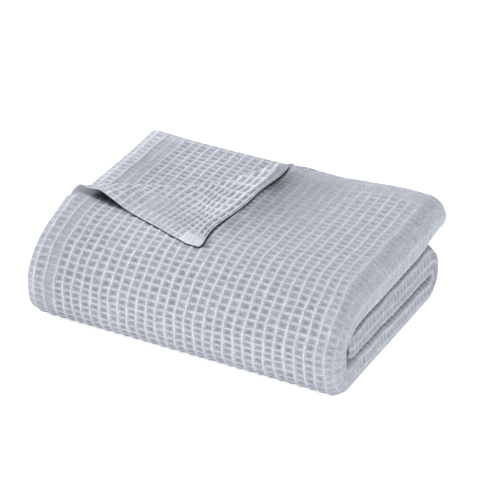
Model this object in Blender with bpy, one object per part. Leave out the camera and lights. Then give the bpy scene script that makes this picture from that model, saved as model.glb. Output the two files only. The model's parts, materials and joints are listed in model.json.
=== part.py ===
"""A waffle weave cotton blanket, folded flat, with one corner of its top ply turned back.

The blanket is one sheet. It is doubled once across its length, folded in
quarters across its width, and the strip that makes is folded in three like a
letter round a rounded front edge. X runs along that front edge, Y from front
to rear and Z up. Lengths are in metres.
"""

import math

import bmesh
import bpy
from mathutils import Vector

# Folded size
WIDTH = 0.330
DEPTH = 0.2505
SHEET = 0.0030

# Spacing of the plies in the thirds of the letter fold and round its front edge
TOP_PITCH = 0.00492
FRONT_PITCH = 0.0036
BOTTOM_PITCH = 0.00375
MIDDLE_PITCH = 0.0039
END_PITCH = 0.0036
THIRDS_GAP = 0.0020

# Outline of the letter fold: a long upper front curve, a short upright part, a
# tighter lower curve, the rear fold, and the end of the middle third inside
FRONT_Y = -0.001
UPPER_START = 0.084
FRONT_HEIGHT = 0.044
LOWER_RADIUS = 0.033
REAR_FOLD = 0.2140
STRIP_END = 0.0400
LOWER_SPREAD = 0.0035

# Insets of the hems and folds at the left and right ends
INNER_HEM_INSET = 0.0025
LEFT_FOLD_INSET = 0.0030

# Turned back corner of the top ply
CREASE_START = 0.0835
CREASE_ANGLE = math.radians(40.8)
CREASE_BOW = 0.017
CREASE_BOW_CENTRE = 0.127
CREASE_BOW_SPREAD = 0.062
ROLL_RADIUS = 0.0034
FLAP_PITCH = 0.0048
FLAP_SQUEEZE = 0.013
FLAP_GATHER = 0.019
HEM_BULGE = 0.008
HEM_PULL = 0.013
CORNER_ROUND = 0.014

# Plan position of the middle of the folded blanket, which goes to the origin
MIDDLE = Vector((0.1662, 0.1248, 0.0))

# Mesh steps
TOP_COLUMNS = 12
HIDDEN_COLUMNS = 4
ROLL_CUTS = 6

PLIES = 8
HALF_BAND = (PLIES - 1) / 2


def smooth(value):
    """Ease from 0 to 1 as value goes from 0 to 1."""
    value = min(1.0, max(0.0, value))
    return value * value * (3 - 2 * value)


def band(pitch):
    """Thickness of one third of the letter fold."""
    return (PLIES - 1) * pitch + SHEET


REAR_RADIUS = (band(BOTTOM_PITCH) + THIRDS_GAP + band(MIDDLE_PITCH)) / 2
TOP_FACE = 2 * REAR_RADIUS + THIRDS_GAP + band(TOP_PITCH)


def letter_outline():
    """Parts of the outline: y, z, direction of its outside and pitch, with a count of steps."""

    def top(share):
        y = DEPTH + (UPPER_START - DEPTH) * share
        return y, TOP_FACE, math.pi / 2, TOP_PITCH

    def upper_front(share):
        turn = math.pi / 2 * (1 + share)
        reach, rise = UPPER_START - FRONT_Y, TOP_FACE - FRONT_HEIGHT
        y, z = reach * math.cos(turn), rise * math.sin(turn)
        facing = math.atan2(z / rise**2, y / reach**2)
        pitch = TOP_PITCH + (FRONT_PITCH - TOP_PITCH) * smooth(share / 0.55)
        return UPPER_START + y, FRONT_HEIGHT + z, facing, pitch

    def upright(share):
        z = FRONT_HEIGHT + (LOWER_RADIUS - FRONT_HEIGHT) * share
        return FRONT_Y, z, math.pi, FRONT_PITCH

    def lower_front(share):
        turn = math.pi * (1 + share / 2)
        y = FRONT_Y + LOWER_RADIUS * (1 + math.cos(turn))
        z = LOWER_RADIUS * (1 + math.sin(turn))
        pitch = FRONT_PITCH + (BOTTOM_PITCH - FRONT_PITCH) * smooth(share)
        return y, z, turn, pitch

    def bottom(share):
        start = FRONT_Y + LOWER_RADIUS
        return start + (REAR_FOLD - start) * share, 0.0, 1.5 * math.pi, BOTTOM_PITCH

    def rear(share):
        turn = math.pi * (1.5 + share)
        y = REAR_FOLD + REAR_RADIUS * math.cos(turn)
        z = REAR_RADIUS * (1 + math.sin(turn))
        pitch = BOTTOM_PITCH + (MIDDLE_PITCH - BOTTOM_PITCH) * smooth(share)
        return y, z, turn, pitch

    def middle(share):
        y = REAR_FOLD + (STRIP_END - REAR_FOLD) * share
        pitch = MIDDLE_PITCH + (END_PITCH - MIDDLE_PITCH) * smooth((0.090 - y) / 0.050)
        drop = band(MIDDLE_PITCH) - band(pitch)
        return y, 2 * REAR_RADIUS - drop, 2.5 * math.pi, pitch

    return (
        (top, 8),
        (upper_front, 40),
        (upright, 4),
        (lower_front, 26),
        (bottom, 8),
        (rear, 32),
        (middle, 24),
    )


class LetterFold:
    """The outline that the strip follows, read by distance along it."""

    def __init__(self):
        self.points, self.outsides, self.pitches, self.joints = [], [], [], [0]
        for part, count in letter_outline():
            for i in range(0 if not self.points else 1, count + 1):
                y, z, facing, pitch = part(i / count)
                self.points.append(Vector((y, z)))
                self.outsides.append(Vector((math.cos(facing), math.sin(facing))))
                self.pitches.append(pitch)
            self.joints.append(len(self.points) - 1)
        self.at = [0.0]
        for a, b in zip(self.points, self.points[1:]):
            self.at.append(self.at[-1] + (b - a).length)
        self.length = self.at[-1]

    def read(self, s):
        """Point, outward direction and pitch at distance s."""
        low, high = 0, len(self.at) - 2
        while low < high:
            middle = (low + high + 1) // 2
            if self.at[middle] <= s:
                low = middle
            else:
                high = middle - 1
        share = (s - self.at[low]) / (self.at[low + 1] - self.at[low])
        inside = min(1.0, max(0.0, share))
        point = self.points[low].lerp(self.points[low + 1], share)
        outside = self.outsides[low].lerp(self.outsides[low + 1], inside).normalized()
        pitches = self.pitches[low], self.pitches[low + 1]
        return point, outside, pitches[0] + inside * (pitches[1] - pitches[0])


FOLD = LetterFold()
END_TURN = math.pi * END_PITCH / 2

# Cuts along the width of the blanket: a pass, a fold, a pass and so on
PASS = WIDTH - 0.02
SPANS = (PASS, 0.040, PASS, 0.014, PASS, 0.014, PASS)
STARTS = [sum(SPANS[:i]) for i in range(len(SPANS) + 1)]


def across(u, pitch):
    """Middle of the doubled cloth at u: x, height in the band, and its outward direction."""
    turn = WIDTH - HALF_BAND * pitch - SHEET / 2
    left = LEFT_FOLD_INSET + 1.5 * pitch + SHEET / 2
    index = 0
    while index < len(SPANS) - 1 and u > STARTS[index + 1]:
        index += 1
    share = (u - STARTS[index]) / SPANS[index]
    if index == 0:
        return share * turn, 3 * pitch, 0.0, 1.0
    if index == 1:
        angle = math.pi / 2 - math.pi * share
        x, h = math.cos(angle), math.sin(angle)
        return turn + 3 * pitch * x, 3 * pitch * h, x, h
    if index == 2:
        return turn + share * (left - turn), -3 * pitch, 0.0, -1.0
    if index == 3:
        angle = -math.pi / 2 - math.pi * share
        x, h = math.cos(angle), math.sin(angle)
        return left + pitch * x, -2 * pitch + pitch * h, x, h
    if index == 4:
        return left + share * (turn - left), -pitch, 0.0, 1.0
    if index == 5:
        angle = -math.pi / 2 + math.pi * share
        x, h = math.cos(angle), math.sin(angle)
        return turn + pitch * x, pitch * h, -x, -h
    return turn + share * (INNER_HEM_INSET - turn), pitch, 0.0, -1.0


def along(v):
    """Distance along the strip and side of the doubled cloth at v."""
    if v <= FOLD.length:
        return v, 0.5
    if v < FOLD.length + END_TURN:
        angle = (v - FOLD.length) / END_TURN * math.pi
        return FOLD.length + END_PITCH / 2 * math.sin(angle), 0.5 * math.cos(angle)
    return 2 * FOLD.length + END_TURN - v, -0.5


def stacked(u, v):
    """Point of the blanket before its top is made uneven."""
    s, side = along(v)
    point, outside, pitch = FOLD.read(s)
    x, h, out_x, out_h = across(u, pitch)
    x += side * pitch * out_x
    h += side * pitch * out_h
    point = point + outside * (h - band(pitch) / 2)
    return Vector((x, point.x, point.y))


CREASE_ALONG = Vector((math.cos(CREASE_ANGLE), math.sin(CREASE_ANGLE)))
CREASE_OVER = Vector((-CREASE_ALONG.y, CREASE_ALONG.x))
CREASE_FROM = Vector((0.0, CREASE_START))


def bow(t):
    """Bow of the crease toward the front at t along it."""
    return -CREASE_BOW * math.exp(-(((t - CREASE_BOW_CENTRE) / CREASE_BOW_SPREAD) ** 2))


def crease_frame(u, v):
    """Distances along and beyond the crease of a point of the top ply."""
    x = u / PASS * (WIDTH - HALF_BAND * TOP_PITCH - SHEET / 2)
    y = DEPTH - v
    pull = HEM_PULL * math.exp(-(((x - 0.195) / 0.045) ** 2))
    y -= pull * smooth((y - 0.190) / 0.060)
    round_x, round_y = 1 - x / CORNER_ROUND, 1 - v / CORNER_ROUND
    if round_x > 0 and round_y > 0:
        x += 0.3 * CORNER_ROUND * round_x * round_y
        y -= 0.3 * CORNER_ROUND * round_x * round_y
    place = Vector((x, y)) - CREASE_FROM
    t = place.dot(CREASE_ALONG)
    return t, place.dot(CREASE_OVER) - bow(t), x, y


def top_ply_height(y):
    """Height of the middle of the top ply over the plan position y."""
    low, high = 0.0, FOLD.length * 0.4
    for _ in range(30):
        s = (low + high) / 2
        point, outside, _ = FOLD.read(s)
        point = point - outside * SHEET / 2
        if point.x > y:
            low = s
        else:
            high = s
    return point.y


def turned_back(u, v):
    """Point of the top ply, with its rear left corner turned over toward the front."""
    t, over, x, y = crease_frame(u, v)
    if over <= 0:
        if v <= DEPTH - UPPER_START:
            return Vector((x, y, TOP_FACE - SHEET / 2))
        return stacked(u, v)
    foot = CREASE_FROM + CREASE_ALONG * t + CREASE_OVER * bow(t)
    arc = math.pi * ROLL_RADIUS
    if over < arc:
        angle = over / ROLL_RADIUS
        plan = foot + CREASE_OVER * ROLL_RADIUS * math.sin(angle)
        lift = ROLL_RADIUS * (1 - math.cos(angle))
    else:
        beyond = over - arc
        squeeze = FLAP_SQUEEZE * smooth((t - 0.090) / 0.080) * smooth(beyond / 0.045)
        reach = beyond - FLAP_GATHER * smooth(beyond / 0.120)
        bulge = HEM_BULGE * math.sin(math.pi * min(1.0, v / 0.150)) * math.exp(-x / 0.040)
        plan = foot - CREASE_OVER * reach - CREASE_ALONG * (squeeze + bulge)
        lift = 2 * ROLL_RADIUS + (FLAP_PITCH - 2 * ROLL_RADIUS) * smooth(beyond / 0.05)
    slope = (top_ply_height(plan.y + 0.001) - top_ply_height(plan.y - 0.001)) / 0.002
    return Vector(
        (plan.x, plan.y, top_ply_height(plan.y) + lift * math.hypot(1.0, slope))
    )


def hill(x, y, centre_x, centre_y, spread_x, spread_y):
    """Soft round hill of height 1."""
    return math.exp(
        -(((x - centre_x) / spread_x) ** 2) - (((y - centre_y) / spread_y) ** 2)
    )


def settled(point):
    """The point after the stack has sagged and puffed a little."""
    x, y, z = point
    rise = (
        0.0022 * hill(x, y, 0.300, 0.230, 0.060, 0.080)
        + 0.0030 * hill(x, y, -0.005, 0.260, 0.035, 0.035)
        - 0.0016 * hill(x, y, 0.225, 0.200, 0.045, 0.050)
        - 0.0012 * hill(x, y, 0.120, 0.110, 0.060, 0.045)
    )
    spread = LOWER_SPREAD * smooth((x - 0.200) / 0.100) * (1 - min(1.0, z / TOP_FACE))
    height = min(1.3, max(0.0, z / TOP_FACE))
    return Vector((x + spread, y, z + rise * height**2)) - MIDDLE


def sheet_point(u, v):
    """Point in the middle of the cloth's thickness."""
    if u <= PASS and v <= DEPTH - UPPER_START + 0.004:
        return settled(turned_back(u, v))
    return settled(stacked(u, v))


def sheet_normal(u, v):
    """Direction of the cloth's face, out of the top of the folded blanket."""
    step = 3e-4
    width, length = STARTS[-1], 2 * FOLD.length + END_TURN
    u0, u1 = max(0.0, u - step), min(width, u + step)
    v0, v1 = max(0.0, v - step), min(length, v + step)
    run = sheet_point(u1, v) - sheet_point(u0, v)
    rise = sheet_point(u, v1) - sheet_point(u, v0)
    return rise.cross(run).normalized()


def steps(start, end, count):
    """The ends of count equal steps from start, without start itself."""
    return [start + (end - start) * (i + 1) / count for i in range(count)]


def column_lines():
    """Positions across the blanket of its mesh lines."""
    counts = (TOP_COLUMNS, 7, HIDDEN_COLUMNS, 6, HIDDEN_COLUMNS, 5, HIDDEN_COLUMNS)
    lines = [0.0]
    for index, count in enumerate(counts):
        lines += steps(STARTS[index], STARTS[index + 1], count)
    return lines


def row_lines():
    """Positions along the blanket of its mesh lines."""
    counts = (6, 7, 1, 4, 2, 6, 3)
    ends = [FOLD.at[joint] for joint in FOLD.joints]
    out = [0.0]
    for start, end, count in zip(ends, ends[1:], counts):
        out += steps(start, end, count)
    back = [2 * FOLD.length + END_TURN - s for s in reversed(out)]
    turn = steps(FOLD.length, FOLD.length + END_TURN, 4)[:-1]
    return out + turn + back


def flat_mesh():
    """The sheet's mesh laid flat, with its cuts along the roll of the turned back corner."""
    flat = bmesh.new()
    u_layer = flat.verts.layers.float.new("u")
    v_layer = flat.verts.layers.float.new("v")
    columns, rows = column_lines(), row_lines()
    grid = []
    for v in rows:
        line = []
        for u in columns:
            vertex = flat.verts.new((u, v, 0.0))
            vertex[u_layer], vertex[v_layer] = u, v
            line.append(vertex)
        grid.append(line)
    for below, above in zip(grid, grid[1:]):
        for i in range(len(columns) - 1):
            flat.faces.new((below[i], below[i + 1], above[i + 1], above[i]))
    reach_u, reach_v = 0.215, DEPTH - UPPER_START + 1e-4
    for vertex in flat.verts:
        t, over, _, _ = crease_frame(vertex[u_layer], vertex[v_layer])
        if vertex[u_layer] <= reach_u + 0.03 and vertex[v_layer] <= reach_v:
            vertex.co = (t, over, 0.0)
    arc = math.pi * ROLL_RADIUS
    for over in steps(0.0, arc, ROLL_CUTS) + [0.0]:
        patch = [
            face
            for face in flat.faces
            if all(
                vertex[u_layer] <= reach_u and vertex[v_layer] <= reach_v
                for vertex in face.verts
            )
        ]
        edges = {edge for face in patch for edge in face.edges}
        verts = {vertex for face in patch for vertex in face.verts}
        bmesh.ops.bisect_plane(
            flat,
            geom=list(verts) + list(edges) + patch,
            dist=1e-6,
            plane_co=(0.0, over, 0.0),
            plane_no=(0.0, 1.0, 0.0),
        )
    for vertex in flat.verts:
        vertex.co = (vertex[u_layer], vertex[v_layer], 0.0)
    return flat


def thickened(flat):
    """A closed mesh: the flat mesh folded up, with both faces and the hem edge."""
    solid = bmesh.new()
    face_side, back_side = {}, {}
    for vertex in flat.verts:
        u, v = vertex.co.x, vertex.co.y
        middle, normal = sheet_point(u, v), sheet_normal(u, v)
        face_side[vertex] = solid.verts.new(middle + normal * SHEET / 2)
        back_side[vertex] = solid.verts.new(middle - normal * SHEET / 2)
    for face in flat.faces:
        solid.faces.new([face_side[vertex] for vertex in face.verts])
        solid.faces.new([back_side[vertex] for vertex in reversed(face.verts)])
    for edge in flat.edges:
        if edge.is_boundary:
            loop = edge.link_loops[0]
            a, b = loop.vert, loop.link_loop_next.vert
            solid.faces.new((face_side[b], face_side[a], back_side[a], back_side[b]))
    flat.free()
    bmesh.ops.recalc_face_normals(solid, faces=solid.faces)
    bmesh.ops.triangulate(solid, faces=solid.faces)
    return solid


def cotton():
    """Pale blue-grey cotton."""
    material = bpy.data.materials.new("cotton")
    material.use_nodes = True
    shader = material.node_tree.nodes["Principled BSDF"]
    shader.inputs["Base Color"].default_value = (0.52, 0.58, 0.66, 1.0)
    shader.inputs["Roughness"].default_value = 0.92
    shader.inputs["Metallic"].default_value = 0.0
    return material


def main():
    for old in list(bpy.data.objects):
        bpy.data.objects.remove(old, do_unlink=True)
    mesh = bpy.data.meshes.new("blanket")
    solid = thickened(flat_mesh())
    solid.to_mesh(mesh)
    solid.free()
    blanket = bpy.data.objects.new("blanket", mesh)
    blanket.data.materials.append(cotton())
    bpy.context.scene.collection.objects.link(blanket)


main()
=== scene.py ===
"""A waffle weave cotton blanket, folded flat, with one corner of its top ply turned back.

The blanket is one sheet. It is doubled once across its length, folded in
quarters across its width, and the strip that makes is folded in three like a
letter round a rounded front edge. A place on the flat sheet is (u, v): u runs
across the blanket from its left hem and v along it from its rear hem. X runs
along the front edge of the folded blanket, Y from front to rear and Z up.
Lengths are in metres.
"""

import json
import logging
import math
from dataclasses import asdict, dataclass, field
from enum import Enum

import bpy
import numpy as np
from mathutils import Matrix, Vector

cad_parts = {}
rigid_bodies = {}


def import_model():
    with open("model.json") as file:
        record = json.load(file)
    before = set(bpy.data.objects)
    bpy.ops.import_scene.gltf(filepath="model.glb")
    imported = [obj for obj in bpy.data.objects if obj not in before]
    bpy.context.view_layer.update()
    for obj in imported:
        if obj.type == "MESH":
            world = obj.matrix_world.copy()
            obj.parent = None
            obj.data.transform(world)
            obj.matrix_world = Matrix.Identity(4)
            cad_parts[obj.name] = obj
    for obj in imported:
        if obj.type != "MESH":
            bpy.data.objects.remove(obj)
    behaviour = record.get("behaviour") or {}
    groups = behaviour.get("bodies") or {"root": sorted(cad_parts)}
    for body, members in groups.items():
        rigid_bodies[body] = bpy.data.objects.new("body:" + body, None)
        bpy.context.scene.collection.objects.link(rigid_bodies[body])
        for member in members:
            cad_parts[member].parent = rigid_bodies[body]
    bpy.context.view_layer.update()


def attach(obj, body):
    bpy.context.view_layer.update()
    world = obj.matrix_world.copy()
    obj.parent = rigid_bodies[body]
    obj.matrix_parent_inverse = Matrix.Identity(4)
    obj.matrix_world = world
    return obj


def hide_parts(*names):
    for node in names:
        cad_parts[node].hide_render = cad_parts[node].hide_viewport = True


LOG = logging.getLogger("blanket")
Array = np.ndarray
Pair = tuple[float, float]
Triple = tuple[float, float, float]
Hill = tuple[float, Pair, Pair]
Socket = bpy.types.NodeSocket
Sockets = bpy.types.bpy_prop_collection

# Lines of the lattice in a cell that are used for each number of cuts, from fine to plain.
LINES_ACROSS = {
    12: tuple(range(12)),
    6: (0, 2, 4, 6, 8, 10),
    5: (0, 2, 4, 8, 10),
    4: (0, 3, 6, 9),
    3: (0, 4, 8),
    1: (0,),
}
LINES_ALONG = {
    10: tuple(range(10)),
    6: (0, 1, 3, 5, 7, 9),
    5: (0, 2, 4, 6, 8),
    4: (0, 3, 5, 7),
    3: (0, 3, 7),
    1: (0,),
}


def ease(value: Array) -> Array:
    """Eases from 0 to 1 as value goes from 0 to 1."""
    value = np.clip(value, 0.0, 1.0)
    return value * value * (3 - 2 * value)


def rising(value: Array, ramp: Pair) -> Array:
    """Eases from 0 to 1 along a ramp, given by its start and its length."""
    return ease((value - ramp[0]) / ramp[1])


def falling(value: Array, ramp: Pair) -> Array:
    """Eases from 1 to 0 along a ramp, given by its start and its length."""
    return 1 - rising(value, ramp)


def blend(first: float, last: float, share: Array) -> Array:
    """Goes from a first number to a last one as share goes from 0 to 1."""
    return first + (last - first) * share


def peak(value: Array, middle: Array | float, spread: float) -> Array:
    """Soft peak of height 1 along a line."""
    return np.exp(-(((value - middle) / spread) ** 2))


def hill(x: Array, y: Array, middle: Pair, spread: Pair) -> Array:
    """Soft round hill of height 1 on a surface."""
    return np.exp(-(((x - middle[0]) / spread[0]) ** 2) - ((y - middle[1]) / spread[1]) ** 2)


def hills(x: Array, y: Array, *each: Hill) -> Array:
    """Adds up hills, each given by its height, its middle and its spread."""
    return sum(height * hill(x, y, middle, spread) for height, middle, spread in each)


def within(u: Array, v: Array, reach: Pair) -> Array:
    """Tells which places lie within a reach of the blanket's rear left corner."""
    return (u < reach[0]) & (v < reach[1])


class Side(Enum):
    """The two sides of the cloth."""

    FACE = 1.0
    BACK = -1.0


class Fineness(Enum):
    """How many cuts the mesh has across and along a cell."""

    CLOSE = (12, 10)
    ROLLED = (6, 5)
    FINE = (5, 5)
    TURNED = (5, 6)
    MIDDLING = (4, 4)
    OPEN = (3, 3)
    SIDE_HEM = (3, 1)
    END_HEM = (1, 3)
    BENT = (4, 1)
    PLAIN = (1, 1)

    def lines_across(self) -> tuple[int, ...]:
        """Which of the lattice's lines across a cell this fineness uses."""
        return LINES_ACROSS[self.value[0]]

    def lines_along(self) -> tuple[int, ...]:
        """Which of the lattice's lines along a cell this fineness uses."""
        return LINES_ALONG[self.value[1]]

    def holds_relief(self) -> bool:
        """Whether cells this fine can show the waffle."""
        return min(self.value) >= 3


@dataclass
class LetterFold:
    """Outline that the folded strip follows round its front edge, read by distance along it.

    Each part of it, from share 0 to share 1, gives Y, Z, the direction of the outside
    and the spacing of the plies.
    """

    width: float = 0.330
    depth: float = 0.2505
    sheet: float = 0.0030
    plies: int = 8
    top_pitch: float = 0.00492
    front_pitch: float = 0.0036
    bottom_pitch: float = 0.00375
    middle_pitch: float = 0.0039
    end_pitch: float = 0.0036
    front_taper: Pair = (0.0, 0.55)
    end_taper: Pair = (0.090, -0.050)
    thirds_gap: float = 0.0020
    front_y: float = -0.001
    upper_start: float = 0.084
    front_height: float = 0.044
    lower_radius: float = 0.033
    rear_fold: float = 0.2140
    strip_end: float = 0.0370
    at: Array = field(init=False)
    places: Array = field(init=False)
    outsides: Array = field(init=False)
    pitches: Array = field(init=False)
    joints: list[float] = field(init=False)

    def __post_init__(self) -> None:
        """Lays out the points of the outline."""
        rows, ends = [], [0]
        for part, count in (
            (self.top, 8),
            (self.upper_front, 160),
            (self.upright, 4),
            (self.lower_front, 104),
            (self.bottom, 8),
            (self.rear, 128),
            (self.middle, 48),
        ):
            share = np.linspace(0.0, 1.0, count + 1)[0 if not rows else 1 :]
            y, z, facing, pitch = np.broadcast_arrays(*part(share))
            rows.append(np.stack([y, z, np.cos(facing), np.sin(facing), pitch], axis=1))
            ends.append(ends[-1] + count)
        table = np.concatenate(rows)
        self.places, self.outsides, self.pitches = table[:, :2], table[:, 2:4], table[:, 4]
        steps = np.linalg.norm(np.diff(self.places, axis=0), axis=1)
        self.at = np.concatenate([[0.0], np.cumsum(steps)])
        self.joints = [float(self.at[end]) for end in ends]

    @property
    def length(self) -> float:
        """Length of the outline."""
        return float(self.at[-1])

    @property
    def half_band(self) -> float:
        """Half the number of steps from the lowest ply to the top one."""
        return (self.plies - 1) / 2

    @property
    def rear_radius(self) -> float:
        """Outer radius of the rear fold."""
        return (self.band(self.bottom_pitch) + self.thirds_gap + self.band(self.middle_pitch)) / 2

    @property
    def top_face(self) -> float:
        """Height of the top of the folded blanket."""
        return 2 * self.rear_radius + self.thirds_gap + self.band(self.top_pitch)

    @property
    def sheet_length(self) -> float:
        """Length of the blanket laid flat."""
        return 2 * self.length + self.end_turn

    @property
    def end_turn(self) -> float:
        """Length of cloth in the fold that doubles the blanket."""
        return math.pi * self.end_pitch / 2

    def band(self, pitch: Array | float) -> Array | float:
        """Thickness of one third of the letter fold at that spacing of its plies."""
        return (self.plies - 1) * pitch + self.sheet

    def fold_start(self, pitch: Array | float) -> Array | float:
        """X where the folds at the right-hand end start, at that spacing of the plies."""
        return self.width - self.half_band * pitch - self.sheet / 2

    def top(self, share: Array) -> tuple:
        """Flat top of the blanket, from its rear edge forward."""
        y = blend(self.depth, self.upper_start, share)
        return y, self.top_face, math.pi / 2, self.top_pitch

    def upper_front(self, share: Array) -> tuple:
        """Long curve over the front edge.

        Args:
            share: Shares of the way along this part.

        Returns:
            Y, Z, direction of the outside and ply spacing there.
        """
        turn = math.pi / 2 * (1 + share)
        reach, rise = self.upper_start - self.front_y, self.top_face - self.front_height
        y, z = reach * np.cos(turn), rise * np.sin(turn)
        facing = np.arctan2(z / rise**2, y / reach**2)
        pitch = blend(self.top_pitch, self.front_pitch, rising(share, self.front_taper))
        return self.upper_start + y, self.front_height + z, facing, pitch

    def upright(self, share: Array) -> tuple:
        """Short upright part of the front."""
        z = blend(self.front_height, self.lower_radius, share)
        return self.front_y, z, math.pi, self.front_pitch

    def lower_front(self, share: Array) -> tuple:
        """Tighter curve under the front edge.

        Args:
            share: Shares of the way along this part.

        Returns:
            Y, Z, direction of the outside and ply spacing there.
        """
        turn = math.pi * (1 + share / 2)
        y = self.front_y + self.lower_radius * (1 + np.cos(turn))
        z = self.lower_radius * (1 + np.sin(turn))
        pitch = blend(self.front_pitch, self.bottom_pitch, ease(share))
        return y, z, turn, pitch

    def bottom(self, share: Array) -> tuple:
        """Flat underside."""
        y = blend(self.front_y + self.lower_radius, self.rear_fold, share)
        return y, 0.0, 1.5 * math.pi, self.bottom_pitch

    def rear(self, share: Array) -> tuple:
        """Fold at the rear between the lowest third and the middle one.

        Args:
            share: Shares of the way along this part.

        Returns:
            Y, Z, direction of the outside and ply spacing there.
        """
        turn = math.pi * (1.5 + share)
        y = self.rear_fold + self.rear_radius * np.cos(turn)
        z = self.rear_radius * (1 + np.sin(turn))
        pitch = blend(self.bottom_pitch, self.middle_pitch, ease(share))
        return y, z, turn, pitch

    def middle(self, share: Array) -> tuple:
        """Middle third, which ends inside the front edge.

        Args:
            share: Shares of the way along this part.

        Returns:
            Y, Z, direction of the outside and ply spacing there.
        """
        y = blend(self.rear_fold, self.strip_end, share)
        pitch = blend(self.middle_pitch, self.end_pitch, rising(y, self.end_taper))
        drop = self.band(self.middle_pitch) - self.band(pitch)
        return y, 2 * self.rear_radius - drop, 2.5 * math.pi, pitch

    def read(self, s: Array) -> tuple[Array, Array, Array]:
        """Looks up the outline.

        Args:
            s: Distances along it.

        Returns:
            Points (Y, Z), directions of the outside there, and ply spacing.
        """
        held = np.clip(s, 0.0, self.length)
        beyond = (s - held)[..., None]
        ends = np.diff(self.places, axis=0)[[0, -1]]
        ends /= np.linalg.norm(ends, axis=1, keepdims=True)
        place = np.stack([np.interp(held, self.at, self.places[:, k]) for k in (0, 1)], axis=-1)
        place = place + beyond * np.where(beyond < 0, ends[0], ends[1])
        out = np.stack([np.interp(held, self.at, self.outsides[:, k]) for k in (0, 1)], axis=-1)
        out /= np.linalg.norm(out, axis=-1, keepdims=True)
        return place, out, np.interp(held, self.at, self.pitches)


@dataclass
class CrossFold:
    """The way the doubled cloth lies back and forth across the width of the folded blanket."""

    letter: LetterFold
    inner_hem_inset: float = 0.0025
    left_fold_inset: float = 0.0030
    pass_length: float = 0.310
    outer_turn: float = 0.040
    inner_turn: float = 0.014

    @property
    def spans(self) -> Array:
        """Lengths of cloth in each pass and fold."""
        one, fold = self.pass_length, self.inner_turn
        return np.array([one, self.outer_turn, one, fold, one, fold, one])

    @property
    def starts(self) -> Array:
        """Where each pass and fold starts across the flat blanket, and where the last ends."""
        return np.concatenate([[0.0], np.cumsum(self.spans)])

    @property
    def sheet_width(self) -> float:
        """Width of the blanket laid flat."""
        return float(self.starts[-1])

    def read(self, u: Array, pitch: Array) -> tuple[Array, Array, Array, Array]:
        """Places the middle of the doubled cloth in the stack.

        Args:
            u: Distances across the flat blanket.
            pitch: Spacing of the plies there.

        Returns:
            X, height in the stack, and the X and height parts of the outward direction.
        """
        letter = self.letter
        turn = letter.fold_start(pitch)
        left = self.left_fold_inset + 1.5 * pitch + letter.sheet / 2
        index = np.searchsorted(self.starts[1:-1], u, side="left")
        share = (u - self.starts[index]) / self.spans[index]
        none, one = np.zeros_like(pitch), np.ones_like(pitch)
        right = math.pi / 2 - math.pi * share
        side = -math.pi / 2 - math.pi * share
        core = -math.pi / 2 + math.pi * share
        cos, sin = np.cos, np.sin
        ways = (
            (share * turn, 3 * pitch, none, one),
            (turn + 3 * pitch * cos(right), 3 * pitch * sin(right), cos(right), sin(right)),
            (turn + share * (left - turn), -3 * pitch, none, -one),
            (left + pitch * cos(side), pitch * (sin(side) - 2), cos(side), sin(side)),
            (left + share * (turn - left), -pitch, none, one),
            (turn + pitch * cos(core), pitch * sin(core), -cos(core), -sin(core)),
            (turn + share * (self.inner_hem_inset - turn), pitch, none, -one),
        )
        return tuple(np.choose(index, [way[part] for way in ways]) for part in range(4))


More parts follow.
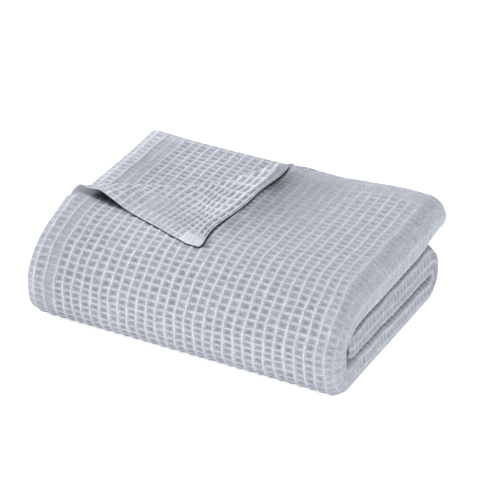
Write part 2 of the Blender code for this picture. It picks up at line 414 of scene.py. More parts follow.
@dataclass
class TurnedCorner:
    """The rear left corner of the top ply, rolled over toward the front.

    It is measured along the crease and beyond it, toward the corner. Most pairs are ramps,
    and hills on the flat cloth say how far the flap slips along the crease.
    """

    letter: LetterFold
    ply_length: float
    crease_start: float = 0.0835
    crease_angle: float = math.radians(40.8)
    crease_bow: float = 0.017
    bow_centre: float = 0.127
    bow_spread: float = 0.062
    rear_bow: float = 0.0100
    rear_bow_along: Pair = (0.155, 0.095)
    roll_radius: float = 0.0034
    swells: tuple[Triple, ...] = ((0.0021, 0.0, 0.070), (0.0028, 0.265, 0.050))
    wedge_lift: float = 0.0065
    wedge_place: float = 0.128
    wedge_reach: float = 0.034
    wedge_fade: float = 0.035
    wedge_start: float = 0.02
    edge_lift: float = 0.0025
    edge_reach: float = 0.016
    rear_edge: Pair = (0.010, 0.050)
    side_edge: Pair = (0.105, -0.045)
    flap_pitch: float = 0.0048
    flap_landing: float = 0.05
    flap_squeeze: float = 0.0145
    squeeze_along: Pair = (0.090, 0.080)
    squeeze_beyond: float = 0.045
    tip_slide: Hill = (0.0085, (0.0, 0.0), (0.050, 0.045))
    tip_point: Hill = (-0.0040, (0.0, 0.0), (0.016, 0.022))
    edge_tuck: Hill = (0.0105, (0.056, 0.0), (0.031, 0.040))
    tuck_beyond: float = 0.020
    flap_gather: float = 0.019
    gather_reach: float = 0.120
    hem_bulge: float = 0.0035
    bulge_length: float = 0.150
    bulge_fade: float = 0.040
    hem_pull: float = 0.013
    pull_place: Pair = (0.195, 0.045)
    pull_back: Pair = (0.190, 0.060)
    corner_round: float = 0.014
    corner_shift: float = 0.3
    slope_step: float = 0.001
    profile_share: float = 0.36
    profile_count: int = 1200

    @property
    def along(self) -> Array:
        """Direction of the crease."""
        return np.array([math.cos(self.crease_angle), math.sin(self.crease_angle)])

    @property
    def over(self) -> Array:
        """Direction across the crease, toward the corner."""
        return np.array([-math.sin(self.crease_angle), math.cos(self.crease_angle)])

    def radius(self, t: Array) -> Array:
        """Radius of the roll at t along the crease: it opens toward both ends."""
        return self.roll_radius + sum(rise * peak(t, place, reach) for rise, place, reach in self.swells)

    def bow(self, t: Array) -> Array:
        """Bow of the crease at t along it: toward the front in its middle, to the rear at its end."""
        middle = -self.crease_bow * peak(t, self.bow_centre, self.bow_spread)
        return middle + self.rear_bow * rising(t, self.rear_bow_along)

    def frame(self, u: Array, v: Array) -> tuple[Array, Array, Array, Array]:
        """Measures a place of the top ply from the crease.

        Args:
            u: Distances across the flat blanket.
            v: Distances along it.

        Returns:
            Distances along and beyond the crease, and the plan position before turning.
        """
        width = self.letter.fold_start(self.letter.top_pitch)
        x, y = u / self.ply_length * width, self.letter.depth - v
        y = y - self.hem_pull * peak(x, *self.pull_place) * rising(y, self.pull_back)
        round_x = np.maximum(0.0, 1 - x / self.corner_round)
        round_y = np.maximum(0.0, 1 - v / self.corner_round)
        shift = self.corner_shift * self.corner_round * round_x * round_y
        x, y = x + shift, y - shift
        t = x * self.along[0] + (y - self.crease_start) * self.along[1]
        over = x * self.over[0] + (y - self.crease_start) * self.over[1]
        return t, over - self.bow(t), x, y

    def ply_height(self, y: Array) -> Array:
        """Height of the middle of the top ply over a plan position.

        Args:
            y: Plan positions from the front.

        Returns:
            Heights.
        """
        s = np.linspace(0.0, self.letter.length * self.profile_share, self.profile_count)
        place, outside, _ = self.letter.read(s)
        place = place - outside * self.letter.sheet / 2
        return np.interp(y, place[::-1, 0], place[::-1, 1])

    def slide(self, u: Array, v: Array, t: Array, x: Array, beyond: Array) -> Array:
        """How far the flap slips along the crease, toward the left.

        Args:
            u: Distances across the flat blanket.
            v: Distances along it.
            t: Distances along the crease.
            x: Plan positions before turning.
            beyond: Distances past the roll.

        Returns:
            Distances.
        """
        squeeze = self.flap_squeeze * rising(t, self.squeeze_along) * ease(beyond / self.squeeze_beyond)
        bulge = self.hem_bulge * np.sin(math.pi * np.minimum(1.0, v / self.bulge_length))
        bulge = np.where(beyond > 0, bulge * np.exp(-x / self.bulge_fade), 0.0)
        bulge = bulge + hills(u, v, self.tip_slide)
        bulge = bulge + hills(u, v, self.edge_tuck) * ease(beyond / self.tuck_beyond)
        return squeeze + (bulge + hills(u, v, self.tip_point))

    def read(self, u: Array, v: Array) -> tuple[Array, Array]:
        """Places the part of the top ply that is turned over.

        Args:
            u: Distances across the flat blanket.
            v: Distances along it.

        Returns:
            Distances beyond the crease, and points.
        """
        t, over, x, _ = self.frame(u, v)
        foot_x = self.along[0] * t + self.over[0] * self.bow(t)
        foot_y = self.crease_start + self.along[1] * t + self.over[1] * self.bow(t)
        radius = self.radius(t)
        angle = np.clip(over / radius, 0.0, math.pi)
        beyond = np.maximum(0.0, over - math.pi * radius)
        reach = radius * np.sin(angle) - beyond + self.flap_gather * ease(beyond / self.gather_reach)
        slide = self.slide(u, v, t, x, beyond)
        plan_x = foot_x + self.over[0] * reach - self.along[0] * slide
        plan_y = foot_y + self.over[1] * reach - self.along[1] * slide
        lift = radius * (1 - np.cos(angle))
        lift = lift + (self.flap_pitch - 2 * radius) * ease(beyond / self.flap_landing)
        from_wedge = ((v - self.wedge_place) / self.wedge_reach) ** 2
        wedge = np.exp(-from_wedge - np.maximum(0, x) / self.wedge_fade)
        lift = lift + self.wedge_lift * wedge * ease(beyond / self.wedge_start)
        rear_hem = (1 - ease(v / self.edge_reach)) * rising(x, self.rear_edge)
        side_hem = (1 - ease(u / self.edge_reach)) * rising(v, self.side_edge)
        tucked = np.maximum(rear_hem, side_hem)
        lift = np.where(lift > self.edge_lift, lift + (self.edge_lift - lift) * tucked, lift)
        step = self.slope_step
        slope = (self.ply_height(plan_y + step) - self.ply_height(plan_y - step)) / (2 * step)
        height = self.ply_height(plan_y) + lift * np.hypot(1.0, slope)
        return over, np.stack([plan_x, plan_y, height], axis=-1)


@dataclass
class FoldedSheet:
    """The whole sheet as it lies folded: a place on the flat blanket gives a point.

    Hills on its plan say where the stack has puffed up or sunk.
    """

    letter: LetterFold
    cross: CrossFold
    corner: TurnedCorner
    middle: Triple = (0.1662, 0.1248, 0.0)
    squareness: float = 6.0
    lowest_squared: Pair = (-0.01, 0.080)
    middle_squared: Pair = (-0.02, 0.04)
    hem_slip: float = 0.0018
    hem_fade: float = 0.008
    droop: float = 0.0018
    droop_reach: float = 0.010
    droop_over: float = 0.006
    top_margin: float = 0.004
    rises: tuple[Hill, ...] = (
        (0.0022, (0.300, 0.230), (0.060, 0.080)),
        (0.0030, (-0.005, 0.260), (0.035, 0.035)),
        (-0.0016, (0.225, 0.200), (0.045, 0.050)),
        (-0.0012, (0.120, 0.110), (0.060, 0.045)),
        (0.0030, (0.178, 0.254), (0.017, 0.022)),
        (0.0030, (-0.002, 0.082), (0.014, 0.015)),
    )
    rise_limit: float = 1.3
    rear_drop: float = 0.0045
    drop_back: Pair = (0.226, 0.028)
    drop_right: Pair = (0.215, 0.04)
    rear_puff: Hill = (0.0042, (0.285, 0.235), (0.065, 0.035))
    lower_spread: float = 0.0035
    spread_right: Pair = (0.200, 0.100)
    mouth_spread: Hill = (-0.0020, (-0.002, 0.084), (0.014, 0.015))
    lower_gain: float = 0.0046
    gain_back: Pair = (0.055, 0.130)
    seam_close: float = 0.0007
    seam_reach: Pair = (0.012, 0.017)
    seam_right: Pair = (0.240, 0.060)
    wander_across: float = 0.00035
    wander_along: float = 0.00045
    wander_edge: float = 0.020
    waves_across: tuple[tuple[float, ...], ...] = ((1.0, 0.043, 3.0, 0.130), (0.8, 0.071, 4.0, 0.090))
    waves_along: tuple[tuple[float, ...], ...] = ((1.0, 0.052, 3.0, 0.170), (0.8, 0.083, 4.0, 0.110))

    def along(self, v: Array) -> tuple[Array, Array]:
        """Finds a row of the sheet on the doubled strip.

        Args:
            v: Distances along the flat blanket.

        Returns:
            Distances along the strip, and 0.5 on its outer cloth to -0.5 on its inner one.
        """
        length, turn, pitch = self.letter.length, self.letter.end_turn, self.letter.end_pitch
        angle = np.clip((v - length) / turn, 0.0, 1.0) * math.pi
        s = np.where(v <= length, v, length + pitch / 2 * np.sin(angle))
        s = np.where(v >= length + turn, 2 * length + turn - v, s)
        return s, 0.5 * np.cos(angle)

    def stacked(self, u: Array, v: Array) -> Array:
        """Points of the plain folded stack.

        Args:
            u: Distances across the flat blanket.
            v: Distances along it.

        Returns:
            Points.
        """
        s, side = self.along(v)
        place, outside, pitch = self.letter.read(s)
        x, h, out_x, out_h = self.cross.read(u, pitch)
        x = x + side * pitch * out_x
        h = h + side * pitch * out_h
        x, h = self.pressed(s, pitch, x, h)
        share = np.clip(h / (self.letter.plies - 1) / pitch + 0.5, 0.0, 1.0)
        x = x - self.hem_slip * np.maximum(0.0, 1 - x / self.hem_fade) * share
        h = h - self.drop(x) * share - self.letter.band(pitch) / 2
        place = place + outside * h[..., None]
        return np.concatenate([x[..., None], place], axis=-1)

    def pressed(self, s: Array, pitch: Array, x: Array, h: Array) -> tuple[Array, Array]:
        """Squares the right-hand folds where one third lies against another.

        Args:
            s: Distances along the strip.
            pitch: Spacing of the plies there.
            x: Places across the stack.
            h: Heights in the stack, from its middle.

        Returns:
            Places across the stack and heights in it.
        """
        turn = self.letter.fold_start(pitch)
        beyond = np.maximum(0.0, x - turn)
        radius = np.maximum(1e-6, np.hypot(beyond, h))
        round_off = (beyond / radius) ** self.squareness + (np.abs(h) / radius) ** self.squareness
        onward = s - self.letter.joints[6]
        against = np.where(h < 0, rising(s, self.lowest_squared), rising(onward, self.middle_squared))
        grow = 1 + (round_off ** (-1 / self.squareness) - 1) * against
        return np.where(x > turn, turn + beyond * grow, x), np.where(x > turn, h * grow, h)

    def drop(self, x: Array) -> Array:
        """How far the left edge of the outer ply sinks."""
        return self.droop * np.maximum(0.0, 1 - x / self.droop_reach) ** 2

    def turned(self, u: Array, v: Array) -> Array:
        """Points of the top ply with its corner turned back.

        Args:
            u: Distances across the flat blanket.
            v: Distances along it.

        Returns:
            Points.
        """
        _, over, x, y = self.corner.frame(u, v)
        beyond, folded = self.corner.read(u, v)
        flat = np.stack([x, y, self.letter.top_face - self.letter.sheet / 2 - self.drop(x)], axis=-1)
        on_top = (v <= self.letter.depth - self.letter.upper_start)[..., None]
        lying = np.where(on_top, flat, self.stacked(u, v))
        folded[..., 2] -= self.drop(x) * (1 - ease(over / self.droop_over))
        return np.where((beyond <= 0)[..., None], lying, folded)

    def settled(self, point: Array) -> Array:
        """Points after the stack has sagged and puffed a little.

        Args:
            point: Points of the even stack.

        Returns:
            Points round the origin.
        """
        x, y, z = np.moveaxis(point, -1, 0)
        rise = hills(x, y, *self.rises)
        rise = rise - self.rear_drop * rising(y, self.drop_back) ** 2 * rising(x, self.drop_right)
        rise = rise + hills(x, y, self.rear_puff)
        share = z / self.letter.top_face
        rise = rise * np.clip(share, 0.0, self.rise_limit) ** 2
        spread = self.lower_spread * rising(x, self.spread_right) * (1 - np.minimum(1.0, share))
        spread = spread + hills(x, y, self.mouth_spread) * share**4
        letter, middle = self.letter, 2 * self.letter.rear_radius
        heights = (0.0, letter.band(letter.bottom_pitch) + letter.thirds_gap / 2, middle)
        uneven = np.interp(z, heights, (0.0, self.lower_gain, 0.0)) * falling(y, self.gain_back)
        below, above = self.seam_reach
        seam = middle + np.array([-below, 0.0, letter.thirds_gap, above])
        closer = np.interp(z, seam, (0.0, self.seam_close, -self.seam_close, 0.0))
        uneven = uneven + closer * rising(x, self.seam_right)
        return np.stack([x + spread, y, z + rise + uneven], axis=-1) - np.array(self.middle)

    def points(self, u: Array, v: Array) -> Array:
        """Points in the middle of the cloth's thickness.

        Args:
            u: Distances across the flat blanket.
            v: Distances along it.

        Returns:
            Points.
        """
        u, v = self.wandered(u, v)
        reach = self.letter.depth - self.letter.upper_start + self.top_margin
        top = ((u <= self.cross.pass_length) & (v <= reach))[..., None]
        return self.settled(np.where(top, self.turned(u, v), self.stacked(u, v)))

    @staticmethod
    def waves(place: Array, beside: Array, waves: tuple[tuple[float, ...], ...]) -> Array:
        """Adds up waves that swing from side to side.

        Args:
            place: Distances that the waves run along.
            beside: Distances that their swing runs along.
            waves: Height, length, swing and length of the swing of each wave.

        Returns:
            Sum of the waves.
        """
        turn = 2 * math.pi
        return sum(
            height * np.sin(turn * place / length + swing * np.sin(turn * beside / reach))
            for height, length, swing, reach in waves
        )

    def wandered(self, u: Array, v: Array) -> tuple[Array, Array]:
        """Lets the ridges wander a little, as woven cloth does.

        Args:
            u: Distances across the flat blanket.
            v: Distances along it.

        Returns:
            Places that the ridges have moved to.
        """
        edge_u = ease(np.minimum(u, self.cross.sheet_width - u) / self.wander_edge)
        edge_v = ease(np.minimum(v, self.letter.sheet_length - v) / self.wander_edge)
        sideways = self.waves(v, u, self.waves_across)
        onward = self.waves(u, v, self.waves_along)
        return u + self.wander_across * sideways * edge_u, v + self.wander_along * onward * edge_v

    def normals(self, u: Array, v: Array, step: float = 2e-4) -> Array:
        """Directions of the cloth's face.

        Args:
            u: Distances across the flat blanket.
            v: Distances along it.
            step: Distance to the neighbouring places that are compared.

        Returns:
            Directions of length 1.
        """
        wide, long = self.cross.sheet_width, self.letter.sheet_length
        run = self.points(np.minimum(wide, u + step), v) - self.points(np.maximum(0, u - step), v)
        rise = self.points(u, np.minimum(long, v + step)) - self.points(u, np.maximum(0, v - step))
        out = np.cross(rise, run)
        return out / np.linalg.norm(out, axis=-1, keepdims=True)


@dataclass
class CellPlan:
    """Ridge lines of the waffle on the flat blanket, and how finely each cell is meshed.

    Margins say how far a finer mesh reaches past a fold, a hem or what shows.
    """

    sheet: FoldedSheet
    hem_columns: tuple[float, ...] = (0.0, 0.0064, 0.0175, 0.0288)
    hem_row: float = 0.0050
    row_pitch: float = 0.00774
    pitch_places: tuple[float, ...] = (0.028, 0.300, 0.314, 0.346, 0.360)
    pitches: tuple[float, ...] = (0.00991, 0.01034, 0.0088, 0.0088, 0.0104)
    half_column: float = 0.005
    last_column: float = 0.012
    cuts_across: tuple[float, ...] = (0, 0.045, 0.09, 0.18, 0.27, 0.385, 0.5, 0.615, 0.73, 0.82, 0.91, 0.955)
    cuts_along: tuple[float, ...] = (0, 0.085, 0.17, 0.275, 0.38, 0.5, 0.62, 0.725, 0.83, 0.915)
    side_hem: float = 0.012
    end_hem: float = 0.010
    margin: float = 0.004
    wide_margin: float = 0.006
    bottom_margin: float = 0.008
    end_margin: float = 0.055
    right_margin: float = 0.020
    inner_margin: float = 0.012
    glimpse: float = 0.024
    flap_reach: Pair = (0.225, 0.180)
    roll_reach: Pair = (0.230, 0.185)
    shaded: float = -0.022
    most_columns: int = 7
    most_rows: int = 5
    columns: Array = field(init=False)
    rows: Array = field(init=False)

    def __post_init__(self) -> None:
        """Lays out the ridge lines."""
        width, length = self.sheet.cross.sheet_width, self.sheet.letter.sheet_length
        lines = list(self.hem_columns)
        while lines[-1] < width - self.last_column:
            middle = lines[-1] + self.half_column
            lines.append(lines[-1] + float(np.interp(middle, self.pitch_places, self.pitches)))
        lines[-1] = width
        self.columns = np.array(lines)
        count = round((length - 2 * self.hem_row) / self.row_pitch)
        inner = np.linspace(self.hem_row, length - self.hem_row, count + 1)
        self.rows = np.concatenate([[0.0], inner, [length]])

    def middles(self) -> tuple[Array, Array]:
        """Middles of the columns and of the rows of cells."""
        return (self.columns[:-1] + self.columns[1:]) / 2, (self.rows[:-1] + self.rows[1:]) / 2

    def lattice(self) -> tuple[Array, Array]:
        """Lists every line that the mesh may use.

        Returns:
            Lines across the blanket and lines along it.
        """
        across = self.columns[:-1, None] + np.diff(self.columns)[:, None] * self.cuts_across
        along = self.rows[:-1, None] + np.diff(self.rows)[:, None] * self.cuts_along
        return np.append(across.ravel(), self.columns[-1]), np.append(along.ravel(), self.rows[-1])

    def at_folds(self, u: Array, margin: float) -> Array:
        """Which places across the blanket lie on a fold between two passes, or near one."""
        folds = zip(self.sheet.cross.starts[1:-1:2], self.sheet.cross.starts[2::2])
        return np.any([(u > start - margin) & (u < end + margin) for start, end in folds], axis=0)

    def plan(self, side: Side) -> Array:
        """Chooses a fineness for each cell of one side of the cloth.

        Args:
            side: Side of the cloth.

        Returns:
            Table of Fineness, a column of cells per row.
        """
        u, v = np.meshgrid(*self.middles(), indexing="ij")
        table = np.full(u.shape, Fineness.PLAIN, dtype=object)
        letter, corner, margin = self.sheet.letter, self.sheet.corner, self.margin
        end = letter.joints[7]
        folds = self.at_folds(u, margin)
        sides = (u < self.side_hem) | (u > self.columns[-1] - self.side_hem)
        ends = (v < self.end_hem) | (v > letter.sheet_length - self.end_hem)
        ends |= (v > end - margin) & (v < end + letter.end_turn + margin)
        table[folds] = Fineness.BENT
        table[sides] = Fineness.SIDE_HEM
        table[ends] = Fineness.END_HEM
        table[ends & (folds | sides)] = Fineness.OPEN
        if side is Side.FACE:
            self.plan_face(table, u, v)
        else:
            table[within(u, v, (self.sheet.cross.starts[2] + margin, self.end_hem))] = Fineness.OPEN
            mirrored = letter.sheet_length - v
            flap = corner.frame(u, v)[1] > -self.wide_margin
            table[within(u, v, self.flap_reach) & flap] = Fineness.TURNED
            shown = corner.frame(u, mirrored)[1] > self.shaded
            table[within(u, mirrored, self.flap_reach) & shown] = Fineness.FINE
        t, over, _, _ = corner.frame(u, v)
        turned = within(u, v, self.roll_reach) & (over > -self.wide_margin)
        roll = over < math.pi * corner.radius(t) + self.wide_margin
        table[turned & roll] = Fineness.CLOSE if side is Side.BACK else Fineness.ROLLED
        if side is Side.FACE:
            table[turned & ~roll & ~sides & ~ends] = Fineness.PLAIN
        return table

    def plan_face(self, table: Array, u: Array, v: Array) -> None:
        """Makes the cells of the face finer where they show.

        Args:
            table: Table of Fineness to fill in.
            u: Middles of the cells across the blanket.
            v: Middles of the cells along it.
        """
        starts, margin = self.sheet.cross.starts, self.margin
        lower, bottom, rear, end = self.sheet.letter.joints[4:]
        outer = v < end
        shown = outer & (u < starts[2] + margin)
        table[shown & (v < lower)] = Fineness.FINE
        under = bottom - self.bottom_margin
        table[shown & (v >= lower) & (v < rear + margin)] = Fineness.OPEN
        behind = shown & (v >= under) & (v < rear + margin)
        table[behind & (u > starts[1] - self.right_margin)] = Fineness.FINE
        inside = shown & (v >= rear + margin)
        table[inside & (u > starts[1] - self.inner_margin)] = Fineness.MIDDLING
        table[outer & (u >= starts[2] + margin) & (u < starts[2] + self.glimpse)] = Fineness.OPEN
        core = (u > starts[3] - self.wide_margin) & (u < starts[4] + self.wide_margin)
        table[outer & core] = Fineness.OPEN

    def curved(self) -> tuple[Array, Array]:
        """Tells which columns and rows of cells lie on a fold or a curve.

        Returns:
            Truth for each column and for each row.
        """
        u, v = self.middles()
        v = np.minimum(v, self.sheet.letter.sheet_length - v)
        top, _, _, lower, bottom, rear, end = self.sheet.letter.joints[1:]
        near = self.bottom_margin
        rows = (v > top - near) & (v < lower + near)
        rows |= (v > bottom - near) & (v < rear + near)
        rows |= v > end - self.end_margin
        return self.at_folds(u, self.wide_margin), rows

    def boxes(self, side: Side) -> list[tuple]:
        """Splits one side of the cloth into boxes of lattice lines, which join alike plain cells.

        Args:
            side: Side of the cloth.

        Returns:
            Boxes: first and last line across, first and last line along, and whether it has relief.
        """
        table, (bent_columns, bent_rows) = self.plan(side), self.curved()
        kinds = list(Fineness)
        codes = np.vectorize(kinds.index)(table)
        count_u, count_v = codes.shape
        per_u, per_v = len(self.cuts_across), len(self.cuts_along)
        found = []
        for c in range(count_u):
            for r in range(count_v):
                code = codes[c, r]
                if code < 0:
                    continue
                kind = kinds[code]
                wide = high = 1
                while kind.value[1] == 1 and high < self.most_rows and r + high < count_v:
                    if bent_rows[r : r + high + 1].any() or codes[c, r + high] != code:
                        break
                    high += 1
                while kind.value[0] == 1 and wide < self.most_columns and c + wide < count_u:
                    alike = (codes[c + wide, r : r + high] == code).all()
                    if bent_columns[c : c + wide + 1].any() or not alike:
                        break
                    wide += 1
                codes[c : c + wide, r : r + high] = -1
                across = [c * per_u + k for k in kind.lines_across()] + [(c + wide) * per_u]
                along = [r * per_v + k for k in kind.lines_along()] + [(r + high) * per_v]
                relief = kind.holds_relief()
                for i0, i1 in zip(across, across[1:]):
                    found += [(i0, i1, j0, j1, relief) for j0, j1 in zip(along, along[1:])]
        return found


@dataclass(frozen=True)
class ClothTones:
    """How much lighter or darker the cotton is in places: its hems, and soft shade and light.

    Hills lie on the plan of the blanket, and ramps and the front spot on the flat cloth.
    """

    face_hem: float = -0.02
    back_hem: float = 0.07
    stripe: float = -0.10
    behind_hem: float = 0.16
    end_hem: float = 0.06
    corner: float = 0.01
    all_but_flap: float = 0.02
    # Painted shade on the top ply beside the turned corner; hills below 0 paint light instead.
    beside_flap: tuple[Hill, ...] = (
        (0.25, (0.020, 0.042), (0.042, 0.050)),
        (0.17, (0.035, 0.098), (0.040, 0.028)),
        (0.30, (0.000, 0.065), (0.018, 0.022)),
        (0.25, (0.002, 0.092), (0.014, 0.020)),
        (0.18, (0.004, 0.022), (0.016, 0.022)),
        (0.14, (-0.016, -0.021), (0.022, 0.022)),
        (-0.11, (-0.056, -0.052), (0.050, 0.022)),
        (0.16, (-0.002, -0.014), (0.018, 0.016)),
        (0.26, (-0.004, 0.075), (0.012, 0.015)),
    )
    # Painted shade and painted light on the ply that shows behind the turned corner.
    behind_flap: tuple[Hill, ...] = (
        (0.12, (-0.141, 0.054), (0.032, 0.030)),
        (-0.09, (-0.072, 0.089), (0.036, 0.030)),
    )
    # Painted light on the turned corner, near its roll and in two other spots.
    near_roll: tuple[Hill, ...] = (
        (1.0, (-0.026, 0.063), (0.034, 0.034)),
        (0.8, (-0.031, 0.000), (0.020, 0.022)),
    )
    on_flap: tuple[Hill, ...] = (
        (0.14, (-0.027, -0.004), (0.020, 0.018)),
        (0.10, (-0.015, 0.044), (0.015, 0.020)),
    )
    # Painted light near the roll, along the rear edge row, on the crest and on the rim, and painted shade
    # near the left hem, all on the turned corner.
    roll_light: float = 0.20
    hem_shade: float = 0.10
    hem_fade: float = 0.05
    hem_end: Pair = (0.095, 0.030)
    edge_light: float = 0.14
    edge_row: Pair = (0.018, 0.022)
    crest_light: float = 0.24
    crest_over: float = 2.7
    crest_spread: float = 0.0020
    crest_end: Pair = (0.100, 0.050)
    rim_light: float = 0.20
    rim: Pair = (0.001, 0.003)
    # Painted shade where the rear end of the turned corner's edge rolls under, and deep in the roll.
    rolled_edge: float = 0.20
    in_roll: float = 0.80
    # Painted shade low on the front, at its left, under it at the right, and in one spot.
    front_spot: Hill = (0.08, (0.315, 0.288), (0.020, 0.026))
    front_end: Pair = (0.350, 0.030)
    front_right: Pair = (0.305, 0.030)
    low_front: float = 0.34
    low_start: Pair = (0.285, 0.040)
    left_front: float = 0.09
    left_start: Pair = (0.160, 0.050)
    left_end: Pair = (0.035, 0.065)
    underside: float = 0.08
    underside_start: Pair = (0.500, 0.020)
    right_part: float = 0.300
    # The face beneath the turned corner is painted near black, as painted shade.
    under_flap: float = -0.85
    covered: Pair = (0.235, 0.080)
    covered_over: float = 0.012


@dataclass(frozen=True)
class FlapGap:
    """Plan distance from the edge of the turned corner, for the line of painted shadow beneath it."""

    steps: int = 100
    edge_reach: Pair = (0.002, 0.200)
    reach: Pair = (0.300, 0.260)
    furthest: float = 0.1
    longest: float = 0.02
    mouth: Pair = (-0.128, 0.050)
    mouth_gap: float = 0.008
    tip: float = -0.015
    tip_gap: float = 0.0005

    def edge(self, sheet: FoldedSheet) -> Array:
        """Lists plan positions along the free edge of the turned corner.

        Args:
            sheet: The folded sheet.

        Returns:
            Positions, X and Y.
        """
        reach = np.linspace(*self.edge_reach, self.steps)
        u, v = np.concatenate([0 * reach, reach]), np.concatenate([reach[::-1], 0 * reach])
        turned = sheet.corner.frame(u, v)[1] > 2 * sheet.corner.roll_radius
        return sheet.points(u[turned], v[turned])[:, :2]

    def measure(self, edge: Array, place: Array) -> Array:
        """Measures plan positions from the edge.

        Args:
            edge: Positions along the edge, whose ends are joined to close it.
            place: Positions to measure.

        Returns:
            Distances, below 0 beneath the turned corner.
        """
        gap = np.full(len(place), self.furthest)
        inside = np.zeros(len(place), dtype=bool)
        for start, end in zip(edge, np.roll(edge, -1, axis=0)):
            run = end - start
            share = np.clip((place - start) @ run / (run @ run), 0.0, 1.0)
            crossing = (start[1] > place[:, 1]) != (end[1] > place[:, 1])
            cut = start[0] + (place[:, 1] - start[1]) * run[0] / (run[1] if run[1] else 1.0)
            inside ^= crossing & (place[:, 0] < cut)
            if run @ run < self.longest**2:
                gap = np.minimum(gap, np.hypot(*(place - start - share[:, None] * run).T))
        x = place[:, 0]
        gap = np.where(inside, -gap, gap) + self.mouth_gap * falling(x, self.mouth)
        return gap + self.tip_gap * (x < self.tip)


@dataclass
class ClothMesh:
    """Points and faces of the folded cloth before its relief: both sides, joined at the hems.

    Most pairs are ramps on the flat cloth, or reaches from its rear left corner. Hills lie
    on the plan of the blanket.
    """

    sheet: FoldedSheet
    cells: CellPlan
    shade: ClothTones = field(default_factory=ClothTones)
    gap: FlapGap = field(default_factory=FlapGap)
    thickness: float = 0.0030
    chart_size: float = 3.0
    chart_gap: float = 1.4
    reach: Pair = (0.235, 0.185)
    flap: Pair = (0.24, 0.02)
    behind: Pair = (0.24, 0.19)
    thin: float = 0.5
    thin_over: float = 0.010
    thin_hems: Pair = (0.002, 0.010)
    hem_pits: Pair = (0.35, 0.6)
    end_pit: float = 0.5
    stripe_pit: float = 0.08
    turned_pit: float = 0.8
    patch_start: Pair = (0.004, 0.002)
    patch: Pair = (0.017, 0.010)
    straightness: float = 1.3
    straight_across: Pair = (0.018, 0.050)
    straight_along: Pair = (0.012, 0.045)
    wider: Pair = (0.24, 0.20)
    wider_along: Pair = (0.120, 0.050)
    rolled_start: Pair = (0.182, 0.042)
    rolled_end: Pair = (0.008, 0.008)
    roll_depth: float = 0.0980
    roll_slant: float = 0.20
    roll_spread: float = 0.0030
    roll_right: Pair = (0.012, 0.016)
    roll_left: Pair = (0.046, 0.030)
    roll_reach: Pair = (0.18, 0.070)
    pressed: float = 0.25
    pressed_end: Pair = (0.15, 0.10)
    hollow: Hill = (0.40, (0.045, 0.060), (0.045, 0.050))
    dent: Hill = (0.6, (-0.078, -0.020), (0.022, 0.022))
    fold: Pair = (0.25, 0.35)
    fold_start: Pair = (-0.020, 0.035)
    fold_below: float = 0.03
    rear: float = 0.92
    rear_end: Pair = (0.012, 0.028)
    rear_right: Pair = (0.162, 0.03)
    plain_corner: float = 0.85
    plain_roll: float = 0.8
    covered: float = 0.8
    covered_over: Pair = (-0.004, 0.006)
    narrow: Pair = (0.0275, 0.0375)
    narrow_share: float = 0.5
    bare_edge: float = 0.002
    u: Array = field(init=False)
    v: Array = field(init=False)
    side: Array = field(init=False)
    relief: Array = field(init=False)
    faces: list[list[int]] = field(init=False)
    centre: Array = field(init=False)
    t: Array = field(init=False)
    over: Array = field(init=False)

    def __post_init__(self) -> None:
        """Numbers the lattice points that the two sides use and lists their faces."""
        across, along = self.cells.lattice()
        size = (len(across), len(along))
        boxes = {side: self.cells.boxes(side) for side in Side}
        used = {side: np.zeros(size, dtype=bool) for side in Side}
        carved = {side: np.zeros(size, dtype=bool) for side in Side}
        for side in Side:
            table = np.array(boxes[side])
            raised = table[:, 4] == 1
            for i in (table[:, 0], table[:, 1]):
                for j in (table[:, 2], table[:, 3]):
                    used[side][i, j] = True
                    carved[side][i[raised], j[raised]] = True
        rim = np.zeros(size, dtype=bool)
        rim[[0, -1], :] = rim[:, [0, -1]] = True
        shared = rim & (used[Side.FACE] | used[Side.BACK])
        columns, numbers, count = [], {}, 0
        for side in Side:
            used[side] |= shared
            new = used[side] & ~rim if side is Side.BACK else used[side]
            number = np.full(size, -1)
            number[new] = np.arange(count, count + new.sum())
            if side is Side.BACK:
                number[shared] = numbers[Side.FACE][shared]
            numbers[side] = number
            count += int(new.sum())
            i, j = np.nonzero(new)
            sides = np.where(rim[new], 0.0, side.value)
            columns.append(np.stack([across[i], along[j], sides, carved[side][new]]))
        self.faces = []
        middles = []
        for side in Side:
            for i0, i1, j0, j1, raised in boxes[side]:
                ring = self.ring(numbers[side], i0, i1, j0, j1)
                if side is Side.BACK:
                    ring = ring[::-1]
                if len(ring) == 4:
                    self.faces.append(ring)
                    continue
                middle = count + len(middles)
                place = ((across[i0] + across[i1]) / 2, (along[j0] + along[j1]) / 2)
                middles.append((*place, side.value, raised))
                self.faces += [[a, b, middle] for a, b in zip(ring, ring[1:] + ring[:1])]
        columns.append(np.array(middles).reshape(-1, 4).T)
        self.u, self.v, self.side, self.relief = np.concatenate(columns, axis=1)
        self.centre = self.sheet.points(self.u, self.v)
        self.t, self.over, _, _ = self.sheet.corner.frame(self.u, self.v)

    @staticmethod
    def ring(number: Array, i0: int, i1: int, j0: int, j1: int) -> list[int]:
        """Lists the points round a box, with those its neighbours put on its edges.

        Args:
            number: Number of each lattice point, or -1.
            i0: First line across.
            i1: Last line across.
            j0: First line along.
            j1: Last line along.

        Returns:
            Point numbers, turning so that the cloth's face is outside.
        """
        left = number[i0, j0:j1]
        far = number[i0:i1, j1]
        right = number[i1, j1:j0:-1]
        near = number[i1:i0:-1, j0]
        ring = np.concatenate([left, far, right, near])
        return [int(k) for k in ring[ring >= 0]]

    def edge_distance(self) -> Array:
        """Distance of each point from the nearest edge of the flat blanket."""
        wide, long = self.sheet.cross.sheet_width, self.sheet.letter.sheet_length
        return np.min([self.u, wide - self.u, self.v, long - self.v], axis=0)

